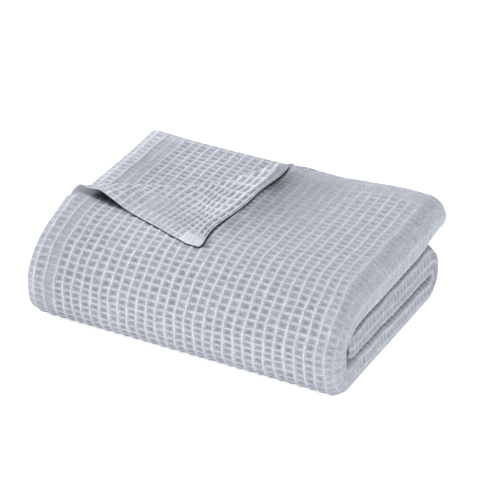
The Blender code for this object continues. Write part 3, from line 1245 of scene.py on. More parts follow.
    def place(self) -> tuple[Array, Array]:
        """Works out where the points lie.

        Returns:
            Points, and the outward direction at each.
        """
        half = self.thickness / 2 * (1 - self.thin * self.thin_hem())
        near = np.clip(1 - self.edge_distance() / half, 0.0, 1.0)
        swell = half * np.sqrt(1 - near**2)
        normals = self.sheet.normals(self.u, self.v) * np.where(self.side == 0, 1.0, self.side)[:, None]
        offset = (swell * np.abs(self.side))[:, None]
        return self.centre + normals * offset, normals

    def thin_hem(self) -> Array:
        """How far the hems of the turned corner are pressed thin, from 0 to 1."""
        edge = falling(np.minimum(self.u, self.v), self.thin_hems)
        return within(self.u, self.v, self.reach) * ease(self.over / self.thin_over) * edge

    @staticmethod
    def hem_cells(places: Array, lines: Array) -> tuple[Array, Array]:
        """Counts the cells from each place to the first of its ridge lines and to the last."""
        first = np.floor(places)
        return first, len(lines) - 2 - first

    def cell_places(self) -> Array:
        """Counts each point's place in cells and how deep that cell's pit is.

        Returns:
            Cells across, cells along, and depth of the pit as a share of a full one.
        """
        columns, rows = self.cells.columns, self.cells.rows
        slip_u, slip_v = self.straightened()
        across = np.interp(self.u + slip_u, columns, np.arange(len(columns)))
        along = np.interp(self.v + slip_v, rows, np.arange(len(rows)))
        from_left, from_right = self.hem_cells(across, columns)
        depth = np.where(np.minimum(*self.hem_cells(along, rows)) <= 0, self.end_pit, 1.0)
        stripe = np.where(self.turned() > 0, self.turned_pit, self.stripe_pit)
        for edge in (from_left, from_right):
            pits = np.select([edge <= 0, edge == 1, edge == 2], [*self.hem_pits, stripe], 1.0)
            depth = np.minimum(depth, pits)
        depth = np.where(self.under_corner() & (from_left == 3), self.stripe_pit, depth)
        return np.stack([across, along, depth * (1 - self.corner_patch())], axis=1)

    def straightened(self) -> tuple[Array, Array]:
        """How far the weave slips on the turned corner, so that its ridges pass the bowed crease straight.

        Returns:
            Slips across and along the blanket.
        """
        corner = self.sheet.corner
        left = np.minimum(self.t, corner.bow_centre)
        slip = 2 * self.straightness * (corner.bow(left) - corner.bow(np.array(corner.bow_centre)))
        turned = self.turned()
        along, over = corner.along[0] * turned, -corner.over[0] * turned
        least, more = self.wider
        wider = least + more * rising(self.t, self.wider_along)
        wider = wider * np.maximum(0.0, self.v - self.straight_along[0]) * turned
        across = slip * over * rising(self.u, self.straight_across)
        return across, slip * along * rising(self.v, self.straight_along) - wider

    def under_corner(self) -> Array:
        """Which points are of the ply that shows behind the turned corner."""
        return (self.side < 0) & within(self.u, self.sheet.letter.sheet_length - self.v, self.behind)

    def corner_patch(self) -> Array:
        """How plain the cloth is where the two hems cross at the turned corner."""
        apart = [np.maximum(place - start, 0) for place, start in zip((self.u, self.v), self.patch_start)]
        return self.turned() * falling(np.hypot(*apart), self.patch)

    def turned(self) -> Array:
        """Which points have their long ridges across the blanket: those of the back, turned up."""
        reach = (self.flap[0], self.sheet.letter.depth - self.sheet.letter.upper_start + self.flap[1])
        return ((self.side < 0) & within(self.u, self.v, reach)).astype(float)

    def hem_tones(self) -> Array:
        """Works out how light the cotton is at the hems and the stripes inside them.

        Returns:
            Amounts to add to the tone.
        """
        shade, under = self.shade, self.under_corner()
        places = self.cell_places()
        edge = np.minimum(*self.hem_cells(places[:, 0], self.cells.columns))
        end = np.minimum(*self.hem_cells(places[:, 1], self.cells.rows))
        hem = np.where(self.side > 0, shade.face_hem, shade.back_hem)
        stripe = np.where(self.turned() > 0, 0.0, shade.stripe)
        tone = np.select([edge <= 1, edge == 2], [hem, stripe], 0.0)
        tone = np.where(under & (edge == 3), shade.stripe, tone)
        tone = np.where(under & (edge <= 1), shade.behind_hem, tone)
        tone = np.where(end <= 1, np.maximum(tone, shade.end_hem), tone)
        return tone + shade.corner * self.corner_patch()

    def front_shade(self) -> Array:
        """Works out how much shade is painted on the face low on the front, and under it at the right.

        Returns:
            Amounts to take from the tone.
        """
        shade, u, v = self.shade, self.u, self.v
        beneath = falling(v, shade.front_end) * falling(u, shade.front_right)
        lower = rising(v, shade.low_start) * beneath
        left = falling(u, shade.left_end) * rising(v, shade.left_start) * beneath
        under = (u > shade.right_part) * rising(v, shade.underside_start)
        parts = shade.low_front * lower + shade.left_front * left + shade.underside * under
        return (self.side > 0) * (hills(u, v, shade.front_spot) + parts)

    def flap_light(self) -> Array:
        """Works out how much painted light the turned corner gets: near its roll, along its rear edge row,
        on its crest and rim and in two spots, less painted shade near its left hem.

        Returns:
            Amounts to add to the tone.
        """
        shade, (x, y, _) = self.shade, self.centre.T
        near_hem = peak(self.u, 0.0, shade.hem_fade) * falling(self.v, shade.hem_end)
        fold = shade.crest_over * self.sheet.corner.radius(self.t)
        crest = peak(self.over, fold, shade.crest_spread)
        light = shade.roll_light * hills(x, y, *shade.near_roll)
        light = light - shade.hem_shade * near_hem * (1 - self.corner_patch())
        light = light + shade.edge_light * falling(self.v, shade.edge_row)
        light = light + shade.crest_light * crest * falling(self.t, shade.crest_end)
        light = light + shade.rim_light * falling(self.u, shade.rim)
        return light + hills(x, y, *shade.on_flap)

    def tones(self) -> Array:
        """Works out how much lighter or darker the cotton is at each point: the hems' own tones, painted
        shade beside, behind and beneath the turned corner, in its roll and low on the front, and painted
        light on the turned corner.

        Returns:
            Tones, 0 for the plain colour.
        """
        shade, turned, (x, y, _) = self.shade, self.turned(), self.centre.T
        # Painted shade beside the turned corner and behind it, with a little painted light where hills fall
        # below 0.
        beside = hills(x, y, *shade.beside_flap) + shade.all_but_flap
        beside = beside + self.under_corner() * hills(x, y, *shade.behind_flap)
        tone = self.hem_tones() - beside * (1 - turned) - self.front_shade()
        tone = tone + self.flap_light() * turned
        # Painted shade where the corner's edge rolls under and in the depth of the roll.
        tone = tone - shade.rolled_edge * self.rolled_edge() - shade.in_roll * self.inside_roll()
        # The face beneath the turned corner is painted near black, as painted shade.
        covered = (self.side > 0) & within(self.u, self.v, shade.covered)
        return np.where(covered & (self.over > shade.covered_over), shade.under_flap, tone)

    def rolled_edge(self) -> Array:
        """Where the rear end of the turned corner's edge rolls under: shade is painted there, and it gets
        less relief.
        """
        return self.turned() * rising(self.t, self.rolled_start) * falling(self.v, self.rolled_end)

    def inside_roll(self) -> Array:
        """Finds where shade is painted on the cloth in the depth of the roll, at its left-hand end.

        Returns:
            From 0 to 1, for the darkest painted shade.
        """
        x, y, _ = (self.centre + np.array(self.sheet.middle)).T
        before = np.minimum(0.0, y - self.roll_depth + self.roll_slant * x)
        wide = rising(x, self.roll_right) * falling(x, self.roll_left)
        furthest, foremost = self.roll_reach
        top = (self.side > 0) & (self.v < furthest) & (y > foremost)
        return peak(before, 0.0, self.roll_spread) * wide * top

    def weights(self) -> Array:
        """Works out how much relief each point takes.

        Returns:
            Shares of the full relief.
        """
        letter, u, v, (x, y, _) = self.sheet.letter, self.u, self.v, self.centre.T
        pressed = self.pressed * falling(v, self.pressed_end) + hills(x, y, self.hollow)
        fold = rising(u - self.sheet.cross.starts[1], self.fold_start)
        rear = falling(v, self.rear_end) * rising(u, self.rear_right) * (v < letter.joints[3])
        at_fold, outside = self.fold
        at_fold = at_fold + outside * falling(v, (letter.joints[4], self.fold_below))
        weight = self.relief * (1 - pressed * (1 - self.turned())) * (1 - fold * at_fold)
        weight *= (1 - self.rear * rear) * (1 - self.plain_corner * self.corner_patch())
        weight *= 1 - self.plain_roll * self.rolled_edge()
        under = (self.side > 0) & within(u, v, self.reach)
        weight *= 1 - self.covered * rising(self.over, self.covered_over) * under
        narrow = self.under_corner() & (u > self.narrow[0]) & (u < self.narrow[1])
        weight *= np.where(narrow, self.narrow_share, 1.0)
        weight *= 1 - hills(x, y, self.dent) * self.turned()
        return weight * ease(self.edge_distance() / self.bare_edge)

    def flap_gap(self) -> Array:
        """Measures the plan distance of the top ply's points from the edge of the turned corner.

        Returns:
            Distances, below 0 beneath the turned corner.
        """
        near = (self.side > 0) & within(self.u, self.v, self.gap.reach) & (self.over < 0)
        gaps = np.full(len(self.u), self.gap.furthest)
        gaps[near] = self.gap.measure(self.gap.edge(self.sheet), self.centre[near, :2])
        return gaps

    def build(self, name: str) -> bpy.types.Object:
        """Makes the mesh object, with what the relief reads stored on its points.

        Args:
            name: Name of the object.

        Returns:
            The object.
        """
        points, lift = self.place()
        mesh = bpy.data.meshes.new(name)
        mesh.from_pydata(points.tolist(), [], self.faces)
        for label, kind, part, data in (
            ("cells", "FLOAT_VECTOR", "vector", self.cell_places()),
            ("lift", "FLOAT_VECTOR", "vector", lift),
            ("weight", "FLOAT", "value", self.weights()),
            ("turned", "FLOAT", "value", self.turned()),
            # The tone holds the hems' own tones and the painted shade and light; flap_gap places the painted
            # shadow under the turned corner's edge.
            ("tone", "FLOAT", "value", self.tones()),
            ("flap_gap", "FLOAT", "value", self.flap_gap()),
        ):
            mesh.attributes.new(label, kind, "POINT").data.foreach_set(
                part, np.ascontiguousarray(data, dtype=np.float32).ravel()
            )
        flat = np.stack([self.u + np.where(self.side < 0, self.chart_gap, 0.0), self.v], axis=1)
        corners = np.empty(len(mesh.loops), dtype=np.int32)
        mesh.loops.foreach_get("vertex_index", corners)
        chart = mesh.uv_layers.new(name="flat")
        chart.data.foreach_set("uv", (flat / self.chart_size)[corners].astype(np.float32).ravel())
        mesh.shade_smooth()
        return add_object(name, mesh)


def add_object(name: str, data: bpy.types.ID) -> bpy.types.Object:
    """Makes an object and puts it in the scene.

    Args:
        name: Name of the object.
        data: Its mesh, curve, light or camera.

    Returns:
        The object.
    """
    item = bpy.data.objects.new(name, data)
    bpy.context.scene.collection.objects.link(item)
    return item


class Sketch:
    """Adds nodes to a tree and joins them up."""

    def __init__(self, tree: bpy.types.NodeTree) -> None:
        """Keeps the tree that it draws in."""
        self.tree = tree

    def add(self, kind: str, *sources: object, **settings: object) -> bpy.types.Node:
        """Adds a node.

        Args:
            kind: Type of node.
            *sources: What goes into its inputs in order: a socket, a value, or None to leave one.
            **settings: Properties of the node.

        Returns:
            The node.
        """
        node = self.tree.nodes.new(kind)
        for name, value in settings.items():
            setattr(node, name, value)
        for socket, source in zip([s for s in node.inputs if s.enabled], sources):
            self.feed(socket, source)
        return node

    def feed(self, socket: Socket, source: object) -> None:
        """Links a socket to another, or sets its value.

        Args:
            socket: Input to fill.
            source: A socket, a value, or None to leave it.
        """
        if isinstance(source, Socket):
            self.tree.links.new(source, socket)
        elif source is not None:
            socket.default_value = source

    def give(self, node: bpy.types.Node, sources: dict[str | int, object]) -> Sockets:
        """Fills inputs of a node.

        Args:
            node: The node.
            sources: Name or number of each input, and the socket or value for it.

        Returns:
            The node's outputs.
        """
        for name, source in sources.items():
            self.feed(node.inputs[name], source)
        return node.outputs

    def read(self, name: str) -> Sockets:
        """Adds a node that reads an attribute of the surface and gives its outputs."""
        return self.add("ShaderNodeAttribute", attribute_name=name).outputs

    def noise(self, place: Socket, scale: float, detail: float) -> Sockets:
        """Adds a noise texture and gives its outputs."""
        return self.give(self.add("ShaderNodeTexNoise", place), {"Scale": scale, "Detail": detail})

    def sum(self, operation: str, *sources: object) -> Socket:
        """Adds a Math node and gives its result."""
        return self.add("ShaderNodeMath", *sources, operation=operation).outputs[0]

    def times(self, *sources: object) -> Socket:
        """Adds a Math node that multiplies two numbers and gives its result."""
        return self.sum("MULTIPLY", *sources)

    def bell(self, distance: Socket, width: object) -> Socket:
        """Adds nodes for a soft peak that has fallen to about a third at width."""
        squared = self.sum("POWER", self.sum("DIVIDE", distance, width), 2.0)
        return self.sum("EXPONENT", self.times(squared, -1.0))

    def slope(self, distance: Socket, start: object, end: object) -> Socket:
        """Adds a node for a smooth rise from 0 at start to 1 at end."""
        smooth = {"interpolation_type": "SMOOTHSTEP"}
        return self.add("ShaderNodeMapRange", distance, start, end, 0.0, 1.0, **smooth).outputs[0]

    def from_lines(
        self, across: Socket, along: Socket, turned: Socket, pitches: tuple
    ) -> tuple[Socket, Socket]:
        """Adds nodes for the distances from the nearest ridge lines of the waffle.

        Args:
            across: Place in cells across the blanket.
            along: Place in cells along it.
            turned: 1 where the long ridges run across the blanket, 0 elsewhere.
            pitches: Size of a cell across and along.

        Returns:
            Distances from the nearest long ridge and from the nearest short one.
        """
        from_side = self.times(self.sum("PINGPONG", across, 0.5), pitches[0])
        from_end = self.times(self.sum("PINGPONG", along, 0.5), pitches[1])
        from_ridge = self.add("ShaderNodeMix", turned, from_side, from_end).outputs[0]
        return from_ridge, self.add("ShaderNodeMix", turned, from_end, from_side).outputs[0]

    def chance(self, across: object, along: object, seed: object = None) -> Socket:
        """Adds nodes for a number from 0 to 1 that differs from cell to cell.

        Args:
            across: Place in cells across the blanket.
            along: Place in cells along it.
            seed: Seed, or None for none.

        Returns:
            The number.
        """
        cell = self.add("ShaderNodeCombineXYZ", self.sum("FLOOR", across), self.sum("FLOOR", along), seed)
        noise = self.add("ShaderNodeTexWhiteNoise", cell.outputs[0], noise_dimensions="3D")
        return noise.outputs["Value"]


def new_tree(name: str, sockets: dict[str, str]) -> tuple[bpy.types.NodeTree, Sketch]:
    """Makes an empty Geometry Nodes tree.

    Args:
        name: Name of the tree.
        sockets: Names and kinds of its inputs, after the geometry.

    Returns:
        The tree, and a sketch to draw in it.
    """
    tree = bpy.data.node_groups.new(name, "GeometryNodeTree")
    tree.interface.new_socket("Geometry", in_out="INPUT", socket_type="NodeSocketGeometry")
    for socket, kind in sockets.items():
        tree.interface.new_socket(socket, in_out="INPUT", socket_type=f"NodeSocket{kind}")
    tree.interface.new_socket("Geometry", in_out="OUTPUT", socket_type="NodeSocketGeometry")
    return tree, Sketch(tree)


def new_material(name: str) -> tuple[bpy.types.Material, Sketch, bpy.types.Node]:
    """Makes a material.

    Args:
        name: Name of the material.

    Returns:
        The material, a sketch to draw in its tree, and its shader.
    """
    material = bpy.data.materials.new(name)
    material.use_nodes = True
    tree = material.node_tree
    return material, Sketch(tree), tree.nodes["Principled BSDF"]


def run_tree(piece: bpy.types.Object, tree: bpy.types.NodeTree, values: dict[str, object]) -> bpy.types.Mesh:
    """Runs a Geometry Nodes tree on an object.

    Args:
        piece: Object that the tree starts from.
        tree: The tree.
        values: Values of its named inputs.

    Returns:
        The result as a plain mesh.
    """
    modifier = piece.modifiers.new(tree.name, "NODES")
    modifier.node_group = tree
    for item in tree.interface.items_tree:
        if item.in_out == "INPUT" and item.name in values:
            modifier[item.identifier] = values[item.name]
    bpy.context.view_layer.update()
    graph = bpy.context.evaluated_depsgraph_get()
    return bpy.data.meshes.new_from_object(
        piece.evaluated_get(graph), preserve_all_data_layers=True, depsgraph=graph
    )


@dataclass
class WaffleRelief:
    """Raises the long ridges and sinks the pits of the waffle, as a Geometry Nodes tree.

    Its sizes are the tree's named inputs.
    """

    column_pitch: float = 0.0101
    row_pitch: float = 0.00774
    ridge_width: float = 0.0009
    ridge_height: float = 0.0007
    pit_depth: float = 0.0017
    pit_side_start: float = 0.0010
    pit_side_end: float = 0.0042
    pit_end_start: float = 0.0009
    pit_end_end: float = 0.0028
    unevenness: float = 0.35
    seed: float = 7.0

    def inputs(self) -> dict[str, float]:
        """Named sizes of the tree, such as "Ridge width" for ridge_width."""
        return {name.replace("_", " ").capitalize(): size for name, size in asdict(self).items()}

    def tree(self) -> bpy.types.NodeTree:
        """Builds the tree.

        Returns:
            The Geometry Nodes tree.
        """
        sockets = {name: "Float" for name in self.inputs()}
        tree, draw = new_tree("Waffle relief", {**sockets, "Cotton": "Material"})
        given = draw.add("NodeGroupInput").outputs
        named = "GeometryNodeInputNamedAttribute"
        cells = draw.add(named, "cells", data_type="FLOAT_VECTOR").outputs[0]
        lift = draw.add(named, "lift", data_type="FLOAT_VECTOR").outputs[0]
        weight = draw.add(named, "weight", data_type="FLOAT").outputs[0]
        turned = draw.add(named, "turned", data_type="FLOAT").outputs[0]
        across, along, pit = draw.add("ShaderNodeSeparateXYZ", cells).outputs
        pitches = (given["Column pitch"], given["Row pitch"])
        from_ridge, from_row = draw.from_lines(across, along, turned, pitches)
        crest = draw.bell(from_ridge, given["Ridge width"])
        wide = draw.slope(from_ridge, given["Pit side start"], given["Pit side end"])
        long = draw.slope(from_row, given["Pit end start"], given["Pit end end"])
        chance = draw.chance(across, along, given["Seed"])
        varied = draw.sum("SUBTRACT", 1.0, draw.times(chance, given["Unevenness"]))
        sunk = draw.times(draw.sum("MINIMUM", wide, long), draw.times(pit, varied))
        base = draw.times(draw.sum("SUBTRACT", crest, 1.0), given["Ridge height"])
        height = draw.sum("SUBTRACT", base, draw.times(sunk, given["Pit depth"]))
        offset = draw.add("ShaderNodeVectorMath", lift, operation="SCALE")
        offset = draw.give(offset, {"Scale": draw.times(height, weight)})[0]
        moved = draw.add("GeometryNodeSetPosition", given["Geometry"])
        whole = draw.add("GeometryNodeRealizeInstances", draw.give(moved, {"Offset": offset})[0])
        dressed = draw.add("GeometryNodeSetMaterial", whole.outputs[0])
        draw.add("NodeGroupOutput", draw.give(dressed, {"Material": given["Cotton"]})[0])
        return tree

    def apply(self, piece: bpy.types.Object, cotton: bpy.types.Material) -> None:
        """Runs the tree on a piece and keeps the result as its mesh.

        Args:
            piece: Object with cells, lift and weight stored on its points.
            cotton: Material for the whole piece.
        """
        made = run_tree(piece, self.tree(), {**self.inputs(), "Cotton": cotton})
        piece.modifiers.clear()
        piece.data = made
        made.name = piece.name


@dataclass(frozen=True)
class WaffleCotton:
    """Pale blue-grey waffle cotton: ridges lighter with painted highlight, pits deeper and darker with
    painted shade, soft yarn.
    """

    # The ramp from pit to ridge paints shade into the pits and highlight onto the ridges.
    ridge: Triple = (0.62, 0.64, 0.69)
    ground: Triple = (0.426, 0.452, 0.508)
    ground_level: float = 0.42
    pit: Triple = (0.25, 0.273, 0.315)
    roughness: float = 0.92
    specular: float = 0.25
    sheen: float = 0.25
    sheen_roughness: float = 0.5
    sheen_tint: Triple = (0.85, 0.89, 0.95)
    yarn: float = 0.0011
    chart_size: float = 3.0
    pitches: Pair = (0.0101, 0.00774)
    ridge_width: float = 0.00115
    bar_width: float = 0.00105
    bar_level: float = 0.78
    wall_level: float = 0.40
    wobble: float = 0.07
    long_wobble: float = 1.5
    core_sides: Pair = (0.0012, 0.0040)
    core_ends: Pair = (0.0010, 0.0027)
    core_variety: float = 0.4
    rib_slant: float = 2.2
    ribs_per_cell: float = 3.0
    rib_range: tuple[float, ...] = (0.1, 0.4, 0.72, 0.28)
    crest_gain: float = 1.4
    # Painted highlight on the crests where the relief is full.
    stray_scale: float = 260.0
    mottle_scale: float = 120.0
    mottle_range: tuple[float, ...] = (0.3, 0.7, 0.88, 1.10)
    fibre_scale: float = 620.0
    fibre_range: tuple[float, ...] = (0.3, 0.7, 0.76, 1.16)
    # Painted shadow along the edge of the turned corner: where it falls and how much light is left in it.
    gap_edge: Pair = (-0.0005, 0.0020)
    gap_light: float = 0.12
    weave_twist: float = 1.2
    fuzz: float = 0.8
    bump_strength: float = 0.55
    bump_height: float = 0.0005

    def level(self, draw: Sketch, place: Socket) -> Socket:
        """Adds nodes for the waffle: how light each spot is by its place in its cell, with painted shade in
        the pits and painted highlight on the ridges.

        Args:
            draw: Tree to draw in.
            place: Place on the cloth.

        Returns:
            From 0 in a pit to 1 on a ridge.
        """
        weight, turned = draw.read("weight")["Fac"], draw.read("turned")["Fac"]
        cells = draw.read("cells")["Vector"]
        stray = draw.noise(place, self.stray_scale, 2.0)["Color"]
        strays = draw.add("ShaderNodeSeparateXYZ", stray).outputs
        across, along, pit = draw.add("ShaderNodeSeparateXYZ", cells).outputs
        aside, onward = (draw.sum("SUBTRACT", strays[k], 0.5) for k in (0, 1))
        across = draw.sum("MULTIPLY_ADD", aside, self.wobble, across)
        along = draw.sum("MULTIPLY_ADD", onward, self.wobble * self.long_wobble, along)
        from_ridge, from_row = draw.from_lines(across, along, turned, self.pitches)
        crest = draw.bell(from_ridge, self.ridge_width)
        bar = draw.times(draw.bell(from_row, self.bar_width), self.bar_level)
        wide = draw.slope(from_ridge, *self.core_sides)
        long = draw.slope(from_row, *self.core_ends)
        varied = draw.sum("MULTIPLY_ADD", draw.chance(across, along), -self.core_variety, 1.0)
        core = draw.times(draw.sum("MINIMUM", wide, long), draw.times(pit, varied))
        wall = draw.times(draw.sum("SUBTRACT", 1.0, core), self.wall_level)
        level = draw.sum("MAXIMUM", crest, draw.sum("MAXIMUM", bar, wall))
        slant = draw.times(draw.sum("PINGPONG", across, 0.5), self.rib_slant)
        ribs = draw.sum("PINGPONG", draw.sum("MULTIPLY_ADD", along, self.ribs_per_cell, slant), 0.5)
        flat = draw.add("ShaderNodeMapRange", ribs, *self.rib_range).outputs[0]
        level = draw.add("ShaderNodeMix", weight, flat, level).outputs[0]
        # Painted highlight on the crests where the relief is full.
        raised = draw.sum("MINIMUM", draw.times(weight, self.crest_gain), 1.0)
        return draw.sum("MAXIMUM", level, draw.times(crest, raised))

    def colour(self, draw: Sketch, level: Socket, shade: Socket) -> Socket:
        """Adds nodes for the colour.

        Args:
            draw: Tree to draw in.
            level: From 0 in a pit to 1 on a ridge.
            shade: What the colour is multiplied by.

        Returns:
            The colour.
        """
        ramp = draw.add("ShaderNodeValToRGB", level)
        stops = ramp.color_ramp.elements
        stops[0].position, stops[0].color = 0.0, (*self.pit, 1.0)
        stops[1].position, stops[1].color = 1.0, (*self.ridge, 1.0)
        stops.new(self.ground_level).color = (*self.ground, 1.0)
        tint = draw.add("ShaderNodeMix", data_type="RGBA", blend_type="MULTIPLY")
        return draw.give(tint, {0: 1.0, 6: ramp.outputs[0], 7: shade})[2]

    def material(self) -> bpy.types.Material:
        """Builds the material.

        Returns:
            The material.
        """
        cotton, draw, shader = new_material("waffle_cotton")
        chart = draw.add("ShaderNodeUVMap", uv_map="flat").outputs[0]
        place = draw.give(draw.add("ShaderNodeMapping", chart), {"Scale": [self.chart_size] * 3})[0]
        level = self.level(draw, place)
        mottle = draw.noise(place, self.mottle_scale, 3.0)["Fac"]
        fibre = draw.noise(place, self.fibre_scale, 2.0)["Fac"]
        spread = draw.add("ShaderNodeMapRange", mottle, *self.mottle_range).outputs[0]
        grain = draw.add("ShaderNodeMapRange", fibre, *self.fibre_range).outputs[0]
        shade = draw.times(spread, grain)
        # The tone brings in the hems' own tones and the painted shade and painted light.
        shade = draw.times(shade, draw.sum("ADD", draw.read("tone")["Fac"], 1.0))
        # Painted shadow along the edge of the turned corner: the colour falls to a small share beneath it
        # and within about 2 mm of it.
        clear = draw.slope(draw.read("flap_gap")["Fac"], *self.gap_edge)
        lit = draw.sum("MULTIPLY_ADD", clear, 1.0 - self.gap_light, self.gap_light)
        shade = draw.times(shade, lit)
        waves = []
        for direction in ("X", "Y"):
            wave = draw.add("ShaderNodeTexWave", place, bands_direction=direction)
            drawn = {"Scale": math.pi / 10 / self.yarn, "Distortion": self.weave_twist, "Detail": 1.0}
            waves.append(draw.give(wave, drawn)["Fac"])
        woven = draw.sum("ADD", draw.times(*waves), draw.times(fibre, self.fuzz))
        bump = draw.add("ShaderNodeBump")
        raised = {"Strength": self.bump_strength, "Distance": self.bump_height, "Height": woven}
        finish = {
            "Base Color": self.colour(draw, level, shade),
            "Normal": draw.give(bump, raised)[0],
            "Roughness": self.roughness,
            "Specular IOR Level": self.specular,
            "Sheen Weight": self.sheen,
            "Sheen Roughness": self.sheen_roughness,
            "Sheen Tint": (*self.sheen_tint, 1.0),
        }
        draw.give(shader, finish)
        return cotton


@dataclass
class HemStitching:
    """Rows of short stitches that hold the hems down, as a Geometry Nodes tree along their lines."""

    sheet: FoldedSheet
    hem: float = 0.0184
    rear_hem: float = 0.0127
    spacing: float = 0.0042
    stitch_length: float = 0.0030
    thread: float = 0.0009
    variety: Pair = (0.88, 1.08)
    sunk: float = 0.0003
    step: float = 0.002
    seed: int = 3

    def lines(self) -> list[tuple[Array, Array, Side]]:
        """Lists the stitch lines that can be seen.

        Returns:
            Places across and along each line, and which side it is on.
        """
        length = self.sheet.letter.sheet_length
        return [
            self.line((self.hem, 0.176), (self.hem, 0.610), Side.FACE),
            self.line((0.240, self.rear_hem), (0.306, self.rear_hem), Side.FACE),
            self.line((self.hem, 0.150), (self.hem, 0.026), Side.BACK),
            self.line((0.028, self.rear_hem), (0.205, self.rear_hem), Side.BACK),
            self.line((self.hem, length - 0.162), (self.hem, length - 0.013), Side.BACK),
            self.line((0.020, length - self.rear_hem), (0.215, length - self.rear_hem), Side.BACK),
        ]

    def line(self, start: Pair, end: Pair, side: Side) -> tuple[Array, Array, Side]:
        """Divides a straight stitch line of the flat blanket into short steps: across, along and side."""
        count = 1 + int(math.dist(start, end) / self.step)
        return np.linspace(start[0], end[0], count), np.linspace(start[1], end[1], count), side

    def guide(self) -> bpy.types.Object:
        """Makes the curve that the stitches follow.

        Returns:
            The curve object.
        """
        curve = bpy.data.curves.new("stitch_lines", "CURVE")
        curve.dimensions = "3D"
        for u, v, side in self.lines():
            height = self.sheet.letter.sheet / 2 - self.sunk
            points = self.sheet.points(u, v) + self.sheet.normals(u, v) * side.value * height
            spline = curve.splines.new("POLY")
            spline.points.add(len(points) - 1)
            spline.points.foreach_set("co", np.c_[points, np.ones(len(points))].ravel())
        return add_object("stitch_lines", curve)

    def tree(self) -> bpy.types.NodeTree:
        """Builds the tree.

        Returns:
            The Geometry Nodes tree.
        """
        sockets = {name: "Float" for name in ("Spacing", "Stitch length", "Thread")}
        tree, draw = new_tree("Hem stitches", {**sockets, "Seed": "Int", "Yarn": "Material"})
        given = draw.add("NodeGroupInput").outputs
        spaced = draw.add("GeometryNodeResampleCurve", given["Geometry"])
        spaced.mode = "LENGTH"
        bead = draw.add("GeometryNodeMeshUVSphere", 6, 5, 0.5)
        tangent = draw.add("GeometryNodeInputTangent").outputs[0]
        aimed = draw.add("FunctionNodeAlignRotationToVector", axis="Z")
        chance = draw.add("FunctionNodeRandomValue", data_type="FLOAT")
        draw.give(chance, {2: self.variety[0], 3: self.variety[1], "Seed": given["Seed"]})
        long = draw.times(given["Stitch length"], chance.outputs[1])
        size = draw.add("ShaderNodeCombineXYZ", given["Thread"], given["Thread"], long).outputs[0]
        points = draw.give(spaced, {"Length": given["Spacing"]})[0]
        placed = draw.add("GeometryNodeInstanceOnPoints", points)
        turn = draw.give(aimed, {"Vector": tangent})[0]
        beads = draw.give(placed, {"Instance": bead.outputs["Mesh"], "Rotation": turn, "Scale": size})[0]
        whole = draw.add("GeometryNodeRealizeInstances", beads)
        smooth = draw.add("GeometryNodeSetShadeSmooth", whole.outputs[0])
        dressed = draw.add("GeometryNodeSetMaterial", smooth.outputs[0])
        draw.add("NodeGroupOutput", draw.give(dressed, {"Material": given["Yarn"]})[0])
        return tree

    def build(self, yarn: bpy.types.Material) -> bpy.types.Object:
        """Makes the stitches as one piece.

        Args:
            yarn: Material of the thread.

        Returns:
            The stitches.
        """
        guide, tree = self.guide(), self.tree()
        values = {
            "Spacing": self.spacing,
            "Stitch length": self.stitch_length,
            "Thread": self.thread,
            "Seed": self.seed,
            "Yarn": yarn,
        }
        mesh = run_tree(guide, tree, values)
        bpy.data.objects.remove(guide, do_unlink=True)
        mesh.name = "hem_stitching"
        return add_object("hem_stitching", mesh)


@dataclass(frozen=True)
class SewingThread:
    """Pale cotton sewing thread, with the twist of its plies."""

    colour: Triple = (0.60, 0.63, 0.69)
    shadow: Triple = (0.44, 0.47, 0.53)
    roughness: float = 0.8
    twist: float = 1800.0
    waves_per_twist: float = 6.0
    bump_strength: float = 0.4
    bump_height: float = 0.0002

    def material(self) -> bpy.types.Material:
        """Builds the material.

        Returns:
            The material.
        """
        thread, draw, shader = new_material("sewing_thread")
        place = draw.add("ShaderNodeTexCoord").outputs["Object"]
        wave = draw.add("ShaderNodeTexWave", place, bands_direction="DIAGONAL")
        strand = draw.give(wave, {"Scale": self.twist / self.waves_per_twist})["Fac"]
        tint = draw.add("ShaderNodeMix", data_type="RGBA")
        tint = draw.give(tint, {0: strand, 6: (*self.shadow, 1.0), 7: (*self.colour, 1.0)})[2]
        bump = draw.add("ShaderNodeBump")
        raised = {"Strength": self.bump_strength, "Distance": self.bump_height, "Height": strand}
        twisted = draw.give(bump, raised)[0]
        draw.give(shader, {"Base Color": tint, "Normal": twisted, "Roughness": self.roughness})
        return thread


@dataclass
class FoldedBlanket:
    """The blanket: one closed sheet of waffle cotton."""

    cotton: WaffleCotton = field(default_factory=WaffleCotton)
    relief: WaffleRelief = field(default_factory=WaffleRelief)
    thread: SewingThread = field(default_factory=SewingThread)

    def build(self) -> list[bpy.types.Object]:
        """Returns:
            The cloth and the stitches.
        """
        letter = LetterFold()
        cross = CrossFold(letter)
        sheet = FoldedSheet(letter, cross, TurnedCorner(letter, cross.pass_length))
        mesh = ClothMesh(sheet, CellPlan(sheet))
        cloth = mesh.build("blanket_cloth")
        self.relief.apply(cloth, self.cotton.material())
        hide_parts("blanket")
        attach(cloth, "root")
        stitches = HemStitching(sheet).build(self.thread.material())
        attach(stitches, "root")
        return [cloth, stitches]


